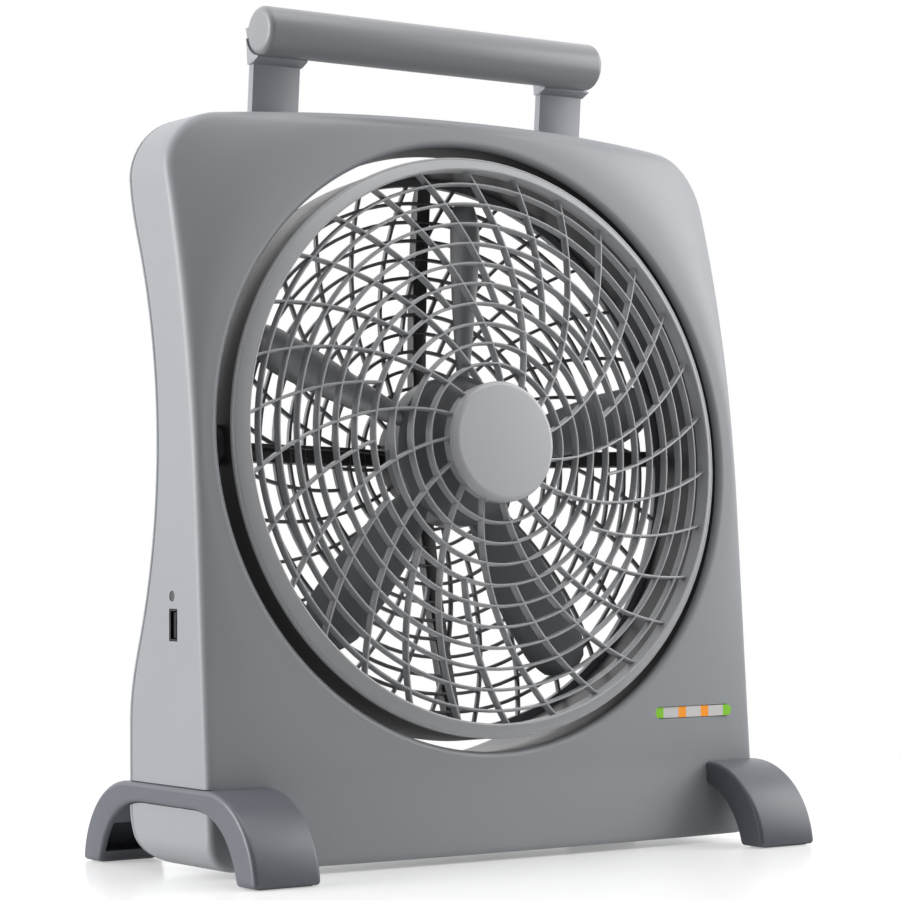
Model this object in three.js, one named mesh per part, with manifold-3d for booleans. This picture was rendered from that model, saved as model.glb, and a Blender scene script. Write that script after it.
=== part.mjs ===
// Portable battery fan with a tilting fan head, a folding carry handle and arched feet.
// Millimetres, +Z up, front towards -Y; the origin is on the floor under the middle of the box.
import * as THREE from "three";
import { mergeVertices } from "three/addons/utils/BufferGeometryUtils.js";
import Module from "manifold-3d";

const wasm = await Module();
wasm.setup();

// ---- Driving dimensions ----

const GAP = 0.3; // between touching pieces
const WALL = 2.6; // moulded housing wall
const degrees = (value) => (value * Math.PI) / 180;

// Housing outline, seen from the front
const HOUSING_WIDTH = 301;
const HOUSING_TOP = 336.5;
const HOUSING_BOTTOM = 3;
const TOP_CROWN = 4.5; // drop of the top edge from its middle to CROWN_REACH
const CROWN_REACH = 130;
const TOP_CORNER = 27;
const BOTTOM_CORNER = 12;
const EDGE_ROUND = 3;

// Housing profile, seen from the side
const HEAD_Y = -24.4; // panel plane at the head's centre
const HEAD_Z = 186.2;
const HEAD_TILT = degrees(5.3);
const SIDE_DROP = 1; // how far the panel falls back at its side edges: at mid height, top and bottom
const SIDE_DROP_TOP = 20;
const SIDE_DROP_BOTTOM = 4.4;
const DROP_START_Z = 170;
const REAR_Y = 36.6;
const WAIST_Y = 12;
const WAIST_Z = 187;
const WAIST_RADIUS = 245;
const WAIST_BLEND = 8;
const REAR_HEEL = 24; // radius of the housing's lower rear edge
const COVER_LIP = 4; // depth of the rear cover's rim

// Fan head and its tunnel
const HEAD_RADIUS = 133;
const HEAD_CLEARANCE = 5.6;
const LIP_ROUND = 3;
const COLLAR_DEPTH = 24;
const COLLAR_STEP = 1;
const COLLAR_FLARE = 6;
const RIM_PROUD = 2.3; // the head's rim stands this far in front of the panel plane
const DUCT_WALL = 2.8;
const DUCT_DEPTH = 34;
const PIVOT_DEPTH = 15;
const PIN_RADIUS = 4;
const BUSH_WALL = 3;

// Front grille
const MAIN_RIBS = 15;
const RING_COUNT = 10;
const RING_FIRST = 36.4;
const RIM_INNER = HEAD_RADIUS - 6.6;
const LAST_RING_GAP = 5.85; // from the last ring to the rim
const RING_PITCH = (RIM_INNER - LAST_RING_GAP - RING_FIRST) / (RING_COUNT - 1);
const SHORT_RIB_RING = 3; // short ribs start at this ring, counted from the hub
const BAR_WIDTH = 1.6;
const BAR_DEPTH = 4;
const HUB_RADIUS = 27.5;
const HUB_CAP_ROUND = 2.6;
const HUB_HOLE = 9; // hole through the grille's hub, behind its cap
const HUB_CAP_HEIGHT = 4.8;
const CONE_HEIGHT = 14.6; // where the grille's cone would meet the axis
const CONE_SLOPE = 0.086;
const RIM_RISE = 4.2;
const RIM_PHASE = degrees(43); // a main rib's angle at the rim
const SWIRL_LOG = degrees(8.2);
const SWIRL_LINEAR = degrees(0.22); // per millimetre

// Rear grille
const REAR_RIBS = 12;
const REAR_RINGS = 4;
const REAR_BAR = 2;
const REAR_HUB = 25;
const REAR_SWIRL = degrees(0.25); // per millimetre
const REAR_DOME = 15;
const SPOKE_WIDTH = 6;
const SPOKE_DEPTH = 6;

// Rotor and motor
const BLADES = 5;
const BLADE_CLEARANCE = 13.2;
const ROTOR_RADIUS = HEAD_RADIUS - DUCT_WALL - BLADE_CLEARANCE;
const ROTOR_HUB = 35;
const ROTOR_FACE = -15; // front of the rotor hub, along the head's axis
const ROTOR_HUB_DEPTH = 14;
const BLADE_CHORD = 30;
const BLADE_THICKNESS = 2;
const BLADE_PHASE = degrees(80);
const SHAFT_RADIUS = 1.5;
const MOTOR_RADIUS = 18;
const MOTOR_LENGTH = 24;

// Feet
const FOOT_LENGTH = 151.8;
const FOOT_WIDTH = 32.5;
const FOOT_PROUD = 1.8; // beyond the housing's side
const FOOT_TOP = 38;
const FOOT_ARC = 40.2;
const FOOT_TREAD = 15.6; // length of each foot's ground contact
const FOOT_BAND = 8.6;
const FOOT_WALL = 2.6;
const FOOT_SOLE = 5; // height left solid above the floor
const FOOT_HOLLOW = 51; // the hollow in each leg starts this far from the middle
const FOOT_INSET = 2.7; // depth of the band in the housing's side
const PAD_HEIGHT = 1.8;
const PAD_PROUD = 0.3;

// Handle
const HANDLE_LENGTH = 188;
const GRIP_RADIUS = 11.2;
const GRIP_Y = 16.8;
const GRIP_Z = HOUSING_TOP + 37.1;
const ARM_CENTRE = 80.6;
const ARM_WIDTH = 24.6;
const ARM_THICKNESS = 4;
const ARM_Y = 24.8; // front face where the arm leaves the housing
const ARM_LEAN = degrees(5);
const SADDLE_DROP = 3; // from the grip's underside down to the arm's strap
const HANDLE_PIVOT_Y = 30;
const HANDLE_PIVOT_Z = HOUSING_TOP - 10.5;
const KNUCKLE_RADIUS = 6;
const HANDLE_PIN = 2;
const POCKET_SIDE_GAP = 0.6;
const POCKET_FLOOR = HOUSING_TOP - 20.5;
const POCKET_FRONT = 23.4;
const POCKET_WALL = 2.2;

// Batteries: a row of four D cells
const CELL_RADIUS = 16.8;
const CELL_LENGTH = 61.2;
const CELL_COUNT = 4;
const CELL_BACK_SPACE = 9.2; // between the row and the housing's back wall
const CELL_Y = REAR_Y - WALL - CELL_BACK_SPACE - CELL_RADIUS;
const DOOR_HALF = 116;
const DOOR_TOP = 36;
const DOOR_FRONT = 20;
const DOOR_WALL = 2.2;

// Controls
const LENS_X = 113;
const LENS_Z = 61.8;
const LENS_WIDTH = 46.4;
const LENS_HEIGHT = 5;
const LENS_THICKNESS = 2;
const LED_RADIUS = 2.2;
const LED_PITCH = 13.6;
const LED_COUNT = 4;
const USB_Y = -5;
const USB_Z = 107.2;
const USB_WIDTH = 6.6;
const USB_HEIGHT = 13.4;
const USB_DEPTH = 11;
const CHARGE_LED_Y = -3.9;
const CHARGE_LED_Z = 119.6;
const BUTTON_RADIUS = 6;
const BUTTON_Y = -4;
const BUTTON_Z = 114;
const BUTTON_PROUD = 1.4;
const BUTTON_TRAVEL = 1.2;
const JACK_Z = 90;
const JACK_RADIUS = 4.2;

// Screws
const SCREW_RADIUS = 1.5;
const SCREW_HEAD = 3;
const SCREW_HEAD_HEIGHT = 2;

// ---- Colours ----

const plastic = (color, roughness = 0.45) =>
  new THREE.MeshStandardMaterial({ color, roughness, metalness: 0 });
const metal = (color, roughness = 0.35) =>
  new THREE.MeshStandardMaterial({ color, roughness, metalness: 1 });
const BODY = 0x8f9196;
const TRIM = 0x84878d;
const GRILLE = 0xa0a2a6;
const DARK = 0x2b2c2e;

// ---- Solid helpers ----

function solid(geometry) {
  const bare = geometry.clone();
  bare.deleteAttribute("normal");
  bare.deleteAttribute("uv");
  const merged = mergeVertices(bare, 1e-4);
  const mesh = new wasm.Mesh({
    numProp: 3,
    vertProperties: new Float32Array(merged.attributes.position.array),
    triVerts: new Uint32Array(merged.index.array),
  });
  mesh.merge();
  return new wasm.Manifold(mesh);
}

function geometryOf(shape) {
  const mesh = shape.getMesh();
  const geometry = new THREE.BufferGeometry();
  geometry.setAttribute("position", new THREE.BufferAttribute(mesh.vertProperties, 3));
  geometry.setIndex(new THREE.BufferAttribute(mesh.triVerts, 1));
  geometry.computeVertexNormals();
  return geometry;
}

const union = (shapes) => shapes.reduce((whole, shape) => whole.add(shape));
const cut = (shape, tools) => tools.reduce((rest, tool) => rest.subtract(tool), shape);

function box(low, high) {
  const size = high.map((value, i) => value - low[i]);
  const geometry = new THREE.BoxGeometry(...size);
  geometry.translate(...low.map((value, i) => value + size[i] / 2));
  return solid(geometry);
}

// A cylinder along one axis ("x", "y" or "z") between two places on it
function cylinder(axis, radius, from, to, across, segments = 16) {
  const geometry = new THREE.CylinderGeometry(radius, radius, to - from, segments);
  const middle = (from + to) / 2;
  if (axis === "x") {
    geometry.rotateZ(Math.PI / 2).translate(middle, across[0], across[1]);
  } else if (axis === "y") {
    geometry.translate(across[0], middle, across[1]);
  } else {
    geometry.rotateX(Math.PI / 2).translate(across[0], across[1], middle);
  }
  return solid(geometry);
}

// A solid of revolution about Z from [radius, z] points
function turned(points, segments = 36) {
  const profile = points.map(([r, z]) => new THREE.Vector2(r, z));
  const geometry = new THREE.LatheGeometry(profile, segments).rotateX(Math.PI / 2);
  const shape = orient(geometry);
  return shape;
}

// A closed ring of revolution from a loop of [radius, z] points
const turnedRing = (loop, segments = 60) => turned([...loop, loop[0]], segments);

// Turns a closed geometry's faces outwards
function orient(geometry) {
  const bare = geometry.clone();
  bare.deleteAttribute("normal");
  bare.deleteAttribute("uv");
  const merged = mergeVertices(bare, 1e-4);
  const p = merged.attributes.position;
  const index = Array.from(merged.index.array);
  const [a, b, c] = [new THREE.Vector3(), new THREE.Vector3(), new THREE.Vector3()];
  const faces = [];
  let volume = 0;
  for (let i = 0; i < index.length; i += 3) {
    const [u, v, w] = index.slice(i, i + 3);
    if (u === v || v === w || w === u) continue;
    a.fromBufferAttribute(p, u);
    b.fromBufferAttribute(p, v);
    c.fromBufferAttribute(p, w);
    volume += a.dot(b.cross(c));
    faces.push([u, v, w]);
  }
  const order = volume < 0 ? faces.map(([u, v, w]) => [u, w, v]) : faces;
  merged.setIndex(order.flat());
  return solid(merged);
}

// A closed band from equal loops of points, the last one joined to the first
function loopBand(loops) {
  const count = loops[0].length;
  const index = [];
  loops.forEach((loop, i) => {
    const next = ((i + 1) % loops.length) * count;
    for (let j = 0; j < count; j++) {
      const k = (j + 1) % count;
      index.push(i * count + j, next + j, next + k, i * count + j, next + k, i * count + k);
    }
  });
  return indexed(loops.flat(), index);
}

// A closed tube from equal loops of points with flat ends
function loopLoft(loops) {
  const count = loops[0].length;
  const index = [];
  for (let i = 0; i + 1 < loops.length; i++) {
    for (let j = 0; j < count; j++) {
      const k = (j + 1) % count;
      const [u, v] = [i * count, (i + 1) * count];
      index.push(u + j, v + j, v + k, u + j, v + k, u + k);
    }
  }
  const last = (loops.length - 1) * count;
  for (let j = 1; j + 1 < count; j++) {
    index.push(0, j, j + 1, last, last + j + 1, last + j);
  }
  return indexed(loops.flat(), index);
}

function indexed(points, index) {
  const geometry = new THREE.BufferGeometry();
  geometry.setAttribute("position", new THREE.Float32BufferAttribute(points.flat(), 3));
  geometry.setIndex(index);
  return orient(geometry);
}

// Extrudes a shape drawn in (y, z) along X
function extrudeX(shape, from, to, curveSegments = 6) {
  const geometry = new THREE.ExtrudeGeometry(shape, {
    depth: to - from,
    bevelEnabled: false,
    curveSegments,
  });
  const turn = new THREE.Matrix4().set(0, 0, 1, from, 1, 0, 0, 0, 0, 1, 0, 0, 0, 0, 0, 1);
  return orient(geometry.applyMatrix4(turn));
}

const root = new THREE.Group();
const head = new THREE.Group();
head.position.set(0, HEAD_Y, HEAD_Z);
head.rotation.x = Math.PI / 2 - HEAD_TILT;
root.add(head);

function add(name, shape, material, parent = root) {
  const mesh = new THREE.Mesh(geometryOf(shape), material);
  mesh.name = name;
  parent.add(mesh);
}

// ---- Housing surfaces ----

const TUNNEL_RADIUS = HEAD_RADIUS + HEAD_CLEARANCE;
const HALF_WIDTH = HOUSING_WIDTH / 2;
const FLAT_RADIUS = TUNNEL_RADIUS + LIP_ROUND + 4;

// A place given by radius and angle about the head's axis and height along it
function onAxis(radius, angle, along) {
  const [sin, cos] = [Math.sin(HEAD_TILT), Math.cos(HEAD_TILT)];
  const up = radius * Math.sin(angle);
  return [
    radius * Math.cos(angle),
    HEAD_Y + up * sin - along * cos,
    HEAD_Z + up * cos + along * sin,
  ];
}

function frontY(x, z) {
  const plane = HEAD_Y + (z - HEAD_Z) * Math.tan(HEAD_TILT);
  const above = Math.max(z - DROP_START_Z, 0) / (HOUSING_TOP - DROP_START_Z);
  const below = Math.max(DROP_START_Z - z, 0) / DROP_START_Z;
  const drop = SIDE_DROP + SIDE_DROP_TOP * above ** 2.2 + SIDE_DROP_BOTTOM * below;
  const flat = Math.sqrt(Math.max(FLAT_RADIUS ** 2 - (z - HEAD_Z) ** 2, 0));
  const share = Math.max(Math.abs(x) - flat, 0) / (HALF_WIDTH - Math.min(flat, HALF_WIDTH - 4));
  return plane + drop * Math.min(share, 1) ** 2.5;
}

function rearY(z) {
  const reach = Math.min(Math.abs(z - WAIST_Z), WAIST_RADIUS * 0.9);
  const waist = WAIST_Y + WAIST_RADIUS - Math.sqrt(WAIST_RADIUS ** 2 - reach ** 2);
  const blend = Math.max(WAIST_BLEND - Math.abs(waist - REAR_Y), 0) / WAIST_BLEND;
  const back = Math.min(waist, REAR_Y) - (blend ** 2 * WAIST_BLEND) / 4;
  const heel = Math.min(Math.max(HOUSING_BOTTOM + REAR_HEEL - z, 0), REAR_HEEL);
  return back - (REAR_HEEL - Math.sqrt(REAR_HEEL ** 2 - heel ** 2));
}

const partingY = (z) => rearY(z) - COVER_LIP;

function insideOutline(x, z, inset) {
  const half = HALF_WIDTH - inset;
  const top = HOUSING_TOP - TOP_CROWN * (x / CROWN_REACH) ** 2 - inset;
  const bottom = HOUSING_BOTTOM + inset;
  const corner = (z > HEAD_Z ? TOP_CORNER : BOTTOM_CORNER) - inset;
  const across = Math.max(Math.abs(x) - (half - corner), 0);
  const along = Math.max(z > HEAD_Z ? z - (top - corner) : bottom + corner - z, 0);
  return across ** 2 + along ** 2 <= corner ** 2;
}

// Distance from the head's centre to the outline along an angle
function outlineRadius(angle, inset = 0) {
  let [low, high] = [100, 300];
  for (let i = 0; i < 40; i++) {
    const middle = (low + high) / 2;
    const [x, z] = [middle * Math.cos(angle), HEAD_Z + middle * Math.sin(angle)];
    if (insideOutline(x, z, inset)) low = middle;
    else high = middle;
  }
  return low;
}

// Even angles about the head, with more of them round the outline's corners and the heel
function housingAngles() {
  const full = 2 * Math.PI;
  const corners = [
    [HOUSING_TOP - TOP_CROWN - TOP_CORNER, TOP_CORNER, 1],
    [HOUSING_BOTTOM + BOTTOM_CORNER, BOTTOM_CORNER, -1],
  ];
  const angles = [];
  for (const side of [-1, 1]) {
    for (const [z, radius, up] of corners) {
      for (let i = 0; i <= 3; i++) {
        const turn = degrees(i * 30);
        const x = side * (HALF_WIDTH - radius + radius * Math.cos(turn));
        angles.push(Math.atan2(z + up * radius * Math.sin(turn) - HEAD_Z, x));
      }
    }
    for (const share of [0.75, 1]) {
      angles.push(Math.atan2(HOUSING_BOTTOM + REAR_HEEL * share - HEAD_Z, side * HALF_WIDTH));
    }
  }
  const wrap = (a, b) => Math.abs(((a - b + 3 * Math.PI) % full) - Math.PI);
  for (let i = 0; i < 40; i++) {
    const even = degrees(i * 9);
    if (angles.every((angle) => wrap(even, angle) > degrees(2))) angles.push(even);
  }
  return angles.map((a) => (a + full) % full).sort((a, b) => a - b);
}

const ANGLES = housingAngles();
const between = (from, to, share) => from + (to - from) * share;

// A place on the panel or on the back, pushed along Y by an offset
const frontAt = (radius, angle, offset = 0) => {
  const [x, z] = [radius * Math.cos(angle), HEAD_Z + radius * Math.sin(angle)];
  return [x, frontY(x, z) + offset, z];
};
const rearAt = (radius, angle, offset = 0) => {
  const [x, z] = [radius * Math.cos(angle), HEAD_Z + radius * Math.sin(angle)];
  return [x, rearY(z) + offset, z];
};
const partingAt = (radius, angle, offset = 0) => {
  const [x, z] = [radius * Math.cos(angle), HEAD_Z + radius * Math.sin(angle)];
  return [x, partingY(z) + offset, z];
};

function frontShell() {
  const loops = ANGLES.map((angle) => {
    const outer = outlineRadius(angle);
    const edge = outlineRadius(angle, EDGE_ROUND);
    const inner = outlineRadius(angle, WALL);
    const lip = TUNNEL_RADIUS + LIP_ROUND;
    const collar = TUNNEL_RADIUS + WALL;
    const bend = EDGE_ROUND * (1 - Math.SQRT1_2);
    return [
      onAxis(TUNNEL_RADIUS, angle, -COLLAR_DEPTH),
      onAxis(TUNNEL_RADIUS, angle, -LIP_ROUND),
      onAxis(TUNNEL_RADIUS + bend, angle, -bend),
      onAxis(lip, angle, 0),
      ...[0.4, 0.75].map((share) => frontAt(between(lip, edge, share), angle)),
      frontAt(edge, angle),
      frontAt(between(edge, outer, Math.SQRT1_2), angle, bend),
      frontAt(outer, angle, EDGE_ROUND),
      partingAt(outer, angle),
      partingAt(inner, angle),
      frontAt(inner, angle, WALL),
      ...[0.75, 0.4].map((share) => frontAt(between(lip, edge, share), angle, WALL)),
      onAxis(lip + 1, angle, -WALL),
      onAxis(collar, angle, -LIP_ROUND - WALL),
      onAxis(collar, angle, -COLLAR_DEPTH),
    ];
  });
  return loopBand(loops);
}

// Where the rear cover's tunnel meets its back, limited by the outline
const flareRadius = (outer) => {
  const mouth = TUNNEL_RADIUS + COLLAR_STEP;
  return mouth + Math.min(COLLAR_FLARE, (outer - mouth) * 0.2);
};

function rearShell() {
  const loops = ANGLES.map((angle) => {
    const outer = outlineRadius(angle);
    const edge = outlineRadius(angle, EDGE_ROUND);
    const inner = outlineRadius(angle, WALL);
    const mouth = TUNNEL_RADIUS + COLLAR_STEP;
    const flare = flareRadius(outer);
    const start = -COLLAR_DEPTH - GAP;
    return [
      onAxis(mouth, angle, start),
      rearAt(flare, angle),
      ...[0.4, 0.75].map((share) => rearAt(between(flare, edge, share), angle)),
      rearAt(edge, angle),
      rearAt(outer, angle, -EDGE_ROUND),
      partingAt(outer, angle, GAP),
      partingAt(inner, angle, GAP),
      rearAt(inner, angle, -WALL),
      ...[0.75, 0.4].map((share) =>
        rearAt(between(flare + WALL, Math.min(inner, edge), share), angle, -WALL),
      ),
      rearAt(flare + WALL, angle, -WALL),
      onAxis(mouth + WALL, angle, start),
    ];
  });
  return loopBand(loops);
}

// The housing's outside as one block, grown by a clearance; it only cuts other pieces
function housingBlock(grow) {
  const core = 20;
  const loops = ANGLES.map((angle) => {
    const outer = outlineRadius(angle);
    const edge = outlineRadius(angle, EDGE_ROUND);
    const lip = TUNNEL_RADIUS + LIP_ROUND;
    const flare = flareRadius(outer);
    return [
      rearAt(core, angle, grow),
      ...[0, 0.4, 0.75, 1].map((share) => rearAt(between(flare, edge, share), angle, grow)),
      rearAt(outer + grow, angle, -EDGE_ROUND),
      frontAt(outer + grow, angle, EDGE_ROUND),
      ...[1, 0.75, 0.4, 0].map((share) => frontAt(between(lip, edge, share), angle, -grow)),
      frontAt(core, angle, -grow),
    ];
  });
  return loopBand(loops);
}

// ---- Feet ----

// The arch of a foot in (y, z), grown outwards and into its opening by a clearance
function archShape(grow) {
  const centre = FOOT_LENGTH / 2 - FOOT_ARC;
  const radius = FOOT_ARC + grow;
  const floor = PAD_PROUD - grow;
  const arcCentre = FOOT_TOP - FOOT_ARC;
  const start = Math.asin((floor - arcCentre) / radius);
  const tread = FOOT_LENGTH / 2 - FOOT_TREAD - grow;
  const opening = FOOT_TOP - FOOT_BAND - grow;
  const shape = new THREE.Shape();
  shape.moveTo(centre + radius * Math.cos(start), floor);
  shape.absarc(centre, arcCentre, radius, start, Math.PI / 2, false);
  shape.absarc(-centre, arcCentre, radius, Math.PI / 2, Math.PI - start, false);
  shape.lineTo(-tread, floor);
  shape.quadraticCurveTo(-tread * 0.88, opening * 0.95, -tread * 0.4, opening);
  shape.lineTo(tread * 0.4, opening);
  shape.quadraticCurveTo(tread * 0.88, opening * 0.95, tread, floor);
  return shape;
}

// The hollow in a foot's legs, open to the inside of its arch
function footHollow(side) {
  const centre = FOOT_LENGTH / 2 - FOOT_ARC;
  const arcCentre = FOOT_TOP - FOOT_ARC;
  const radius = FOOT_ARC - FOOT_WALL;
  const start = Math.asin((FOOT_SOLE - arcCentre) / radius);
  const end = Math.acos((FOOT_HOLLOW - centre) / radius);
  const shape = new THREE.Shape();
  shape.moveTo(FOOT_HOLLOW, FOOT_SOLE);
  shape.lineTo(centre + radius * Math.cos(start), FOOT_SOLE);
  shape.absarc(centre, arcCentre, radius, start, end, false);
  const spanX = [side * (FOOT_OUTER - FOOT_WALL), side * (FOOT_OUTER - FOOT_WIDTH + FOOT_WALL)];
  const mirrored = new THREE.Shape(shape.getPoints(6).map((p) => new THREE.Vector2(-p.x, p.y)));
  return [shape, mirrored].map((outline) => extrudeX(outline, Math.min(...spanX), Math.max(...spanX)));
}

const FOOT_OUTER = HALF_WIDTH + FOOT_PROUD;
const BAND_INNER = HALF_WIDTH - FOOT_INSET;
const FOOT_MIDDLE = FOOT_OUTER - FOOT_WIDTH / 2;
const PAD_Y = (FOOT_LENGTH - FOOT_TREAD) / 2;
const PAD_SIZE = [FOOT_WIDTH - 7, FOOT_TREAD - 5];
const SCREW_X = FOOT_MIDDLE - 2;
const FOOT_SCREW_Z = FOOT_TOP - 7;

const padBox = (side, end, grow) =>
  box(
    [side * FOOT_MIDDLE - PAD_SIZE[0] / 2 - grow, end * PAD_Y - PAD_SIZE[1] / 2 - grow, 0],
    [side * FOOT_MIDDLE + PAD_SIZE[0] / 2 + grow, end * PAD_Y + PAD_SIZE[1] / 2 + grow, PAD_HEIGHT + grow],
  );

// A screw along Y: its head starts at headY, and the shank points along dir
function screwY(x, z, headY, dir, length, grow = 0) {
  const headEnd = headY + dir * (SCREW_HEAD_HEIGHT + grow);
  const tip = headY + dir * (SCREW_HEAD_HEIGHT + length + grow);
  const rod = (radius, a, b) => cylinder("y", radius + grow, Math.min(a, b), Math.max(a, b), [x, z], 8);
  return rod(SCREW_HEAD, headY, headEnd).add(rod(SCREW_RADIUS, headY, tip));
}

// Where a foot's screws start: inside the panel and inside the rear cover
const footScrews = [-1, 1].flatMap((side) =>
  [-1, 1].map((end) => {
    const x = side * SCREW_X;
    const panel = frontY(x, FOOT_SCREW_Z) + WALL + GAP + SCREW_HEAD_HEIGHT;
    const cover = rearY(FOOT_SCREW_Z) - WALL - GAP - SCREW_HEAD_HEIGHT;
    const place = { x, z: FOOT_SCREW_Z, headY: end < 0 ? panel : cover, dir: end };
    return { name: `foot_screw_${side < 0 ? "left" : "right"}_${end < 0 ? "front" : "rear"}`, ...place };
  }),
);
const FOOT_SCREW_LENGTH = 12;
const footScrew = (s, grow) => screwY(s.x, s.z, s.headY, s.dir, FOOT_SCREW_LENGTH, grow);

for (const side of [-1, 1]) {
  const name = side < 0 ? "left" : "right";
  const inner = side * (FOOT_OUTER - FOOT_WIDTH);
  const outer = side * FOOT_OUTER;
  const band = side * (BAND_INNER + GAP);
  const ends = (a, b) => [Math.min(a, b), Math.max(a, b)];
  const arch = extrudeX(archShape(0), ...ends(inner, outer));
  const sideBand = extrudeX(archShape(0), ...ends(band, outer));
  const pads = [-1, 1].map((end) => padBox(side, end, GAP));
  const bores = footScrews.map((s) => footScrew(s, GAP));
  const body = arch.subtract(housingBlock(GAP)).add(sideBand);
  add(`foot_${name}`, cut(body, [...footHollow(side), ...pads, ...bores]), plastic(TRIM, 0.5));
  for (const end of [-1, 1]) {
    const place = `${name}_${end < 0 ? "front" : "rear"}`;
    add(`foot_pad_${place}`, padBox(side, end, 0), plastic(0x1c1c1d, 0.9));
  }
}
for (const s of footScrews) add(s.name, footScrew(s, 0), metal(0x8c8c8c));

// ---- Rear cover screws and their posts ----

const COVER_SCREW_LENGTH = 12;
const POST_RADIUS = 4;
const POST_CLEARANCE = 3.4;
const coverScrews = [
  [128, 84],
  [126, HOUSING_TOP - 34.5],
].flatMap(([x, z]) => [-1, 1].map((side) => ({ x: side * x, z, headY: rearY(z) - 0.4, dir: -1 })));
const coverScrew = (s, grow) => screwY(s.x, s.z, s.headY, s.dir, COVER_SCREW_LENGTH, grow);
const coverPosts = coverScrews.map((s) =>
  cylinder("y", POST_RADIUS, frontY(s.x, s.z) + WALL / 2, rearY(s.z) - WALL - POST_CLEARANCE, [s.x, s.z], 8),
);
coverScrews.forEach((s, i) => add(`cover_screw_${i + 1}`, coverScrew(s, 0), metal(0x3a3a3c)));

// ---- Handle ----

const POCKET_HALF = ARM_WIDTH / 2 + POCKET_SIDE_GAP;
const PIN_HALF = POCKET_HALF + POCKET_WALL;
const handlePin = (side, grow) =>
  cylinder(
    "x",
    HANDLE_PIN + grow,
    side * ARM_CENTRE - PIN_HALF - grow,
    side * ARM_CENTRE + PIN_HALF + grow,
    [HANDLE_PIVOT_Y, HANDLE_PIVOT_Z],
    16,
  );

// The arm in (y, z): a leaning strap with a knuckle below and a saddle under the grip
function armSolid(side) {
  const lean = Math.tan(ARM_LEAN);
  const frontAtZ = (z) => ARM_Y - (z - HOUSING_TOP) * lean;
  const saddleZ = GRIP_Z - GRIP_RADIUS - SADDLE_DROP;
  const top = GRIP_Z + 3;
  const low = HANDLE_PIVOT_Z - 2;
  const [left, right] = [side * ARM_CENTRE - ARM_WIDTH / 2, side * ARM_CENTRE + ARM_WIDTH / 2];
  const strap = new THREE.Shape();
  strap.moveTo(frontAtZ(low), low);
  strap.lineTo(frontAtZ(low) + ARM_THICKNESS, low);
  strap.lineTo(frontAtZ(saddleZ) + ARM_THICKNESS, saddleZ);
  strap.quadraticCurveTo(frontAtZ(top) + ARM_THICKNESS + 1, GRIP_Z - 8, GRIP_Y + GRIP_RADIUS + 2, top);
  strap.lineTo(GRIP_Y + GRIP_RADIUS - 1, top);
  strap.lineTo(frontAtZ(saddleZ), saddleZ);
  const saddle = new THREE.Shape();
  saddle.moveTo(frontAtZ(saddleZ), saddleZ);
  saddle.lineTo(frontAtZ(saddleZ) + ARM_THICKNESS, saddleZ);
  saddle.lineTo(GRIP_Y + GRIP_RADIUS, GRIP_Z);
  saddle.lineTo(GRIP_Y + 1, GRIP_Z);
  saddle.lineTo(GRIP_Y + 1, GRIP_Z - GRIP_RADIUS - 0.8);
  const knuckle = cylinder("x", KNUCKLE_RADIUS, left, right, [HANDLE_PIVOT_Y, HANDLE_PIVOT_Z]);
  const whole = union([extrudeX(strap, left, right), extrudeX(saddle, left - 1, right + 1), knuckle]);
  const seat = cylinder("x", GRIP_RADIUS + GAP, left - 2, right + 2, [GRIP_Y, GRIP_Z], 24);
  return cut(whole, [seat, handlePin(side, GAP), armScrew(side, GAP)]);
}

const ARM_SCREW_LENGTH = 12;
const armScrew = (side, grow) =>
  screwY(side * ARM_CENTRE, GRIP_Z - 2, GRIP_Y + GRIP_RADIUS + 2, -1, ARM_SCREW_LENGTH, grow);

function gripSolid() {
  const half = HANDLE_LENGTH / 2;
  const round = 3;
  const ends = [0, 45, 90].map((a) => [
    GRIP_RADIUS - round * (1 - Math.cos(degrees(a))),
    half - round * (1 - Math.sin(degrees(a))),
  ]);
  const right = ends;
  const left = ends.map(([r, x]) => [r, -x]).toReversed();
  const profile = [[0, -half], ...left, ...right, [0, half]].map(([r, x]) => new THREE.Vector2(r, x));
  const geometry = new THREE.LatheGeometry(profile, 24).rotateZ(-Math.PI / 2);
  geometry.translate(0, GRIP_Y, GRIP_Z);
  return orient(geometry);
}

add("handle_grip", cut(gripSolid(), [armScrew(-1, GAP), armScrew(1, GAP)]), plastic(BODY));
for (const side of [-1, 1]) {
  const name = side < 0 ? "left" : "right";
  add(`handle_arm_${name}`, armSolid(side), plastic(TRIM));
  add(`handle_pin_${name}`, handlePin(side, 0), metal(0xb0b0b2));
  add(`handle_screw_${name}`, armScrew(side, 0), metal(0x3a3a3c));
}

// The pocket in the housing's top rear edge that each arm folds through
const pocketSpace = (side) =>
  box(
    [side * ARM_CENTRE - POCKET_HALF, POCKET_FRONT, POCKET_FLOOR],
    [side * ARM_CENTRE + POCKET_HALF, REAR_Y + 10, HOUSING_TOP + 10],
  );
const pocketBlock = (side) =>
  box(
    [side * ARM_CENTRE - PIN_HALF - 1.5, POCKET_FRONT - POCKET_WALL, POCKET_FLOOR - POCKET_WALL],
    [side * ARM_CENTRE + PIN_HALF + 1.5, rearY(POCKET_FLOOR) - 1, HOUSING_TOP - TOP_CROWN - WALL - 1],
  );

// ---- Battery door, cells and contacts ----

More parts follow.
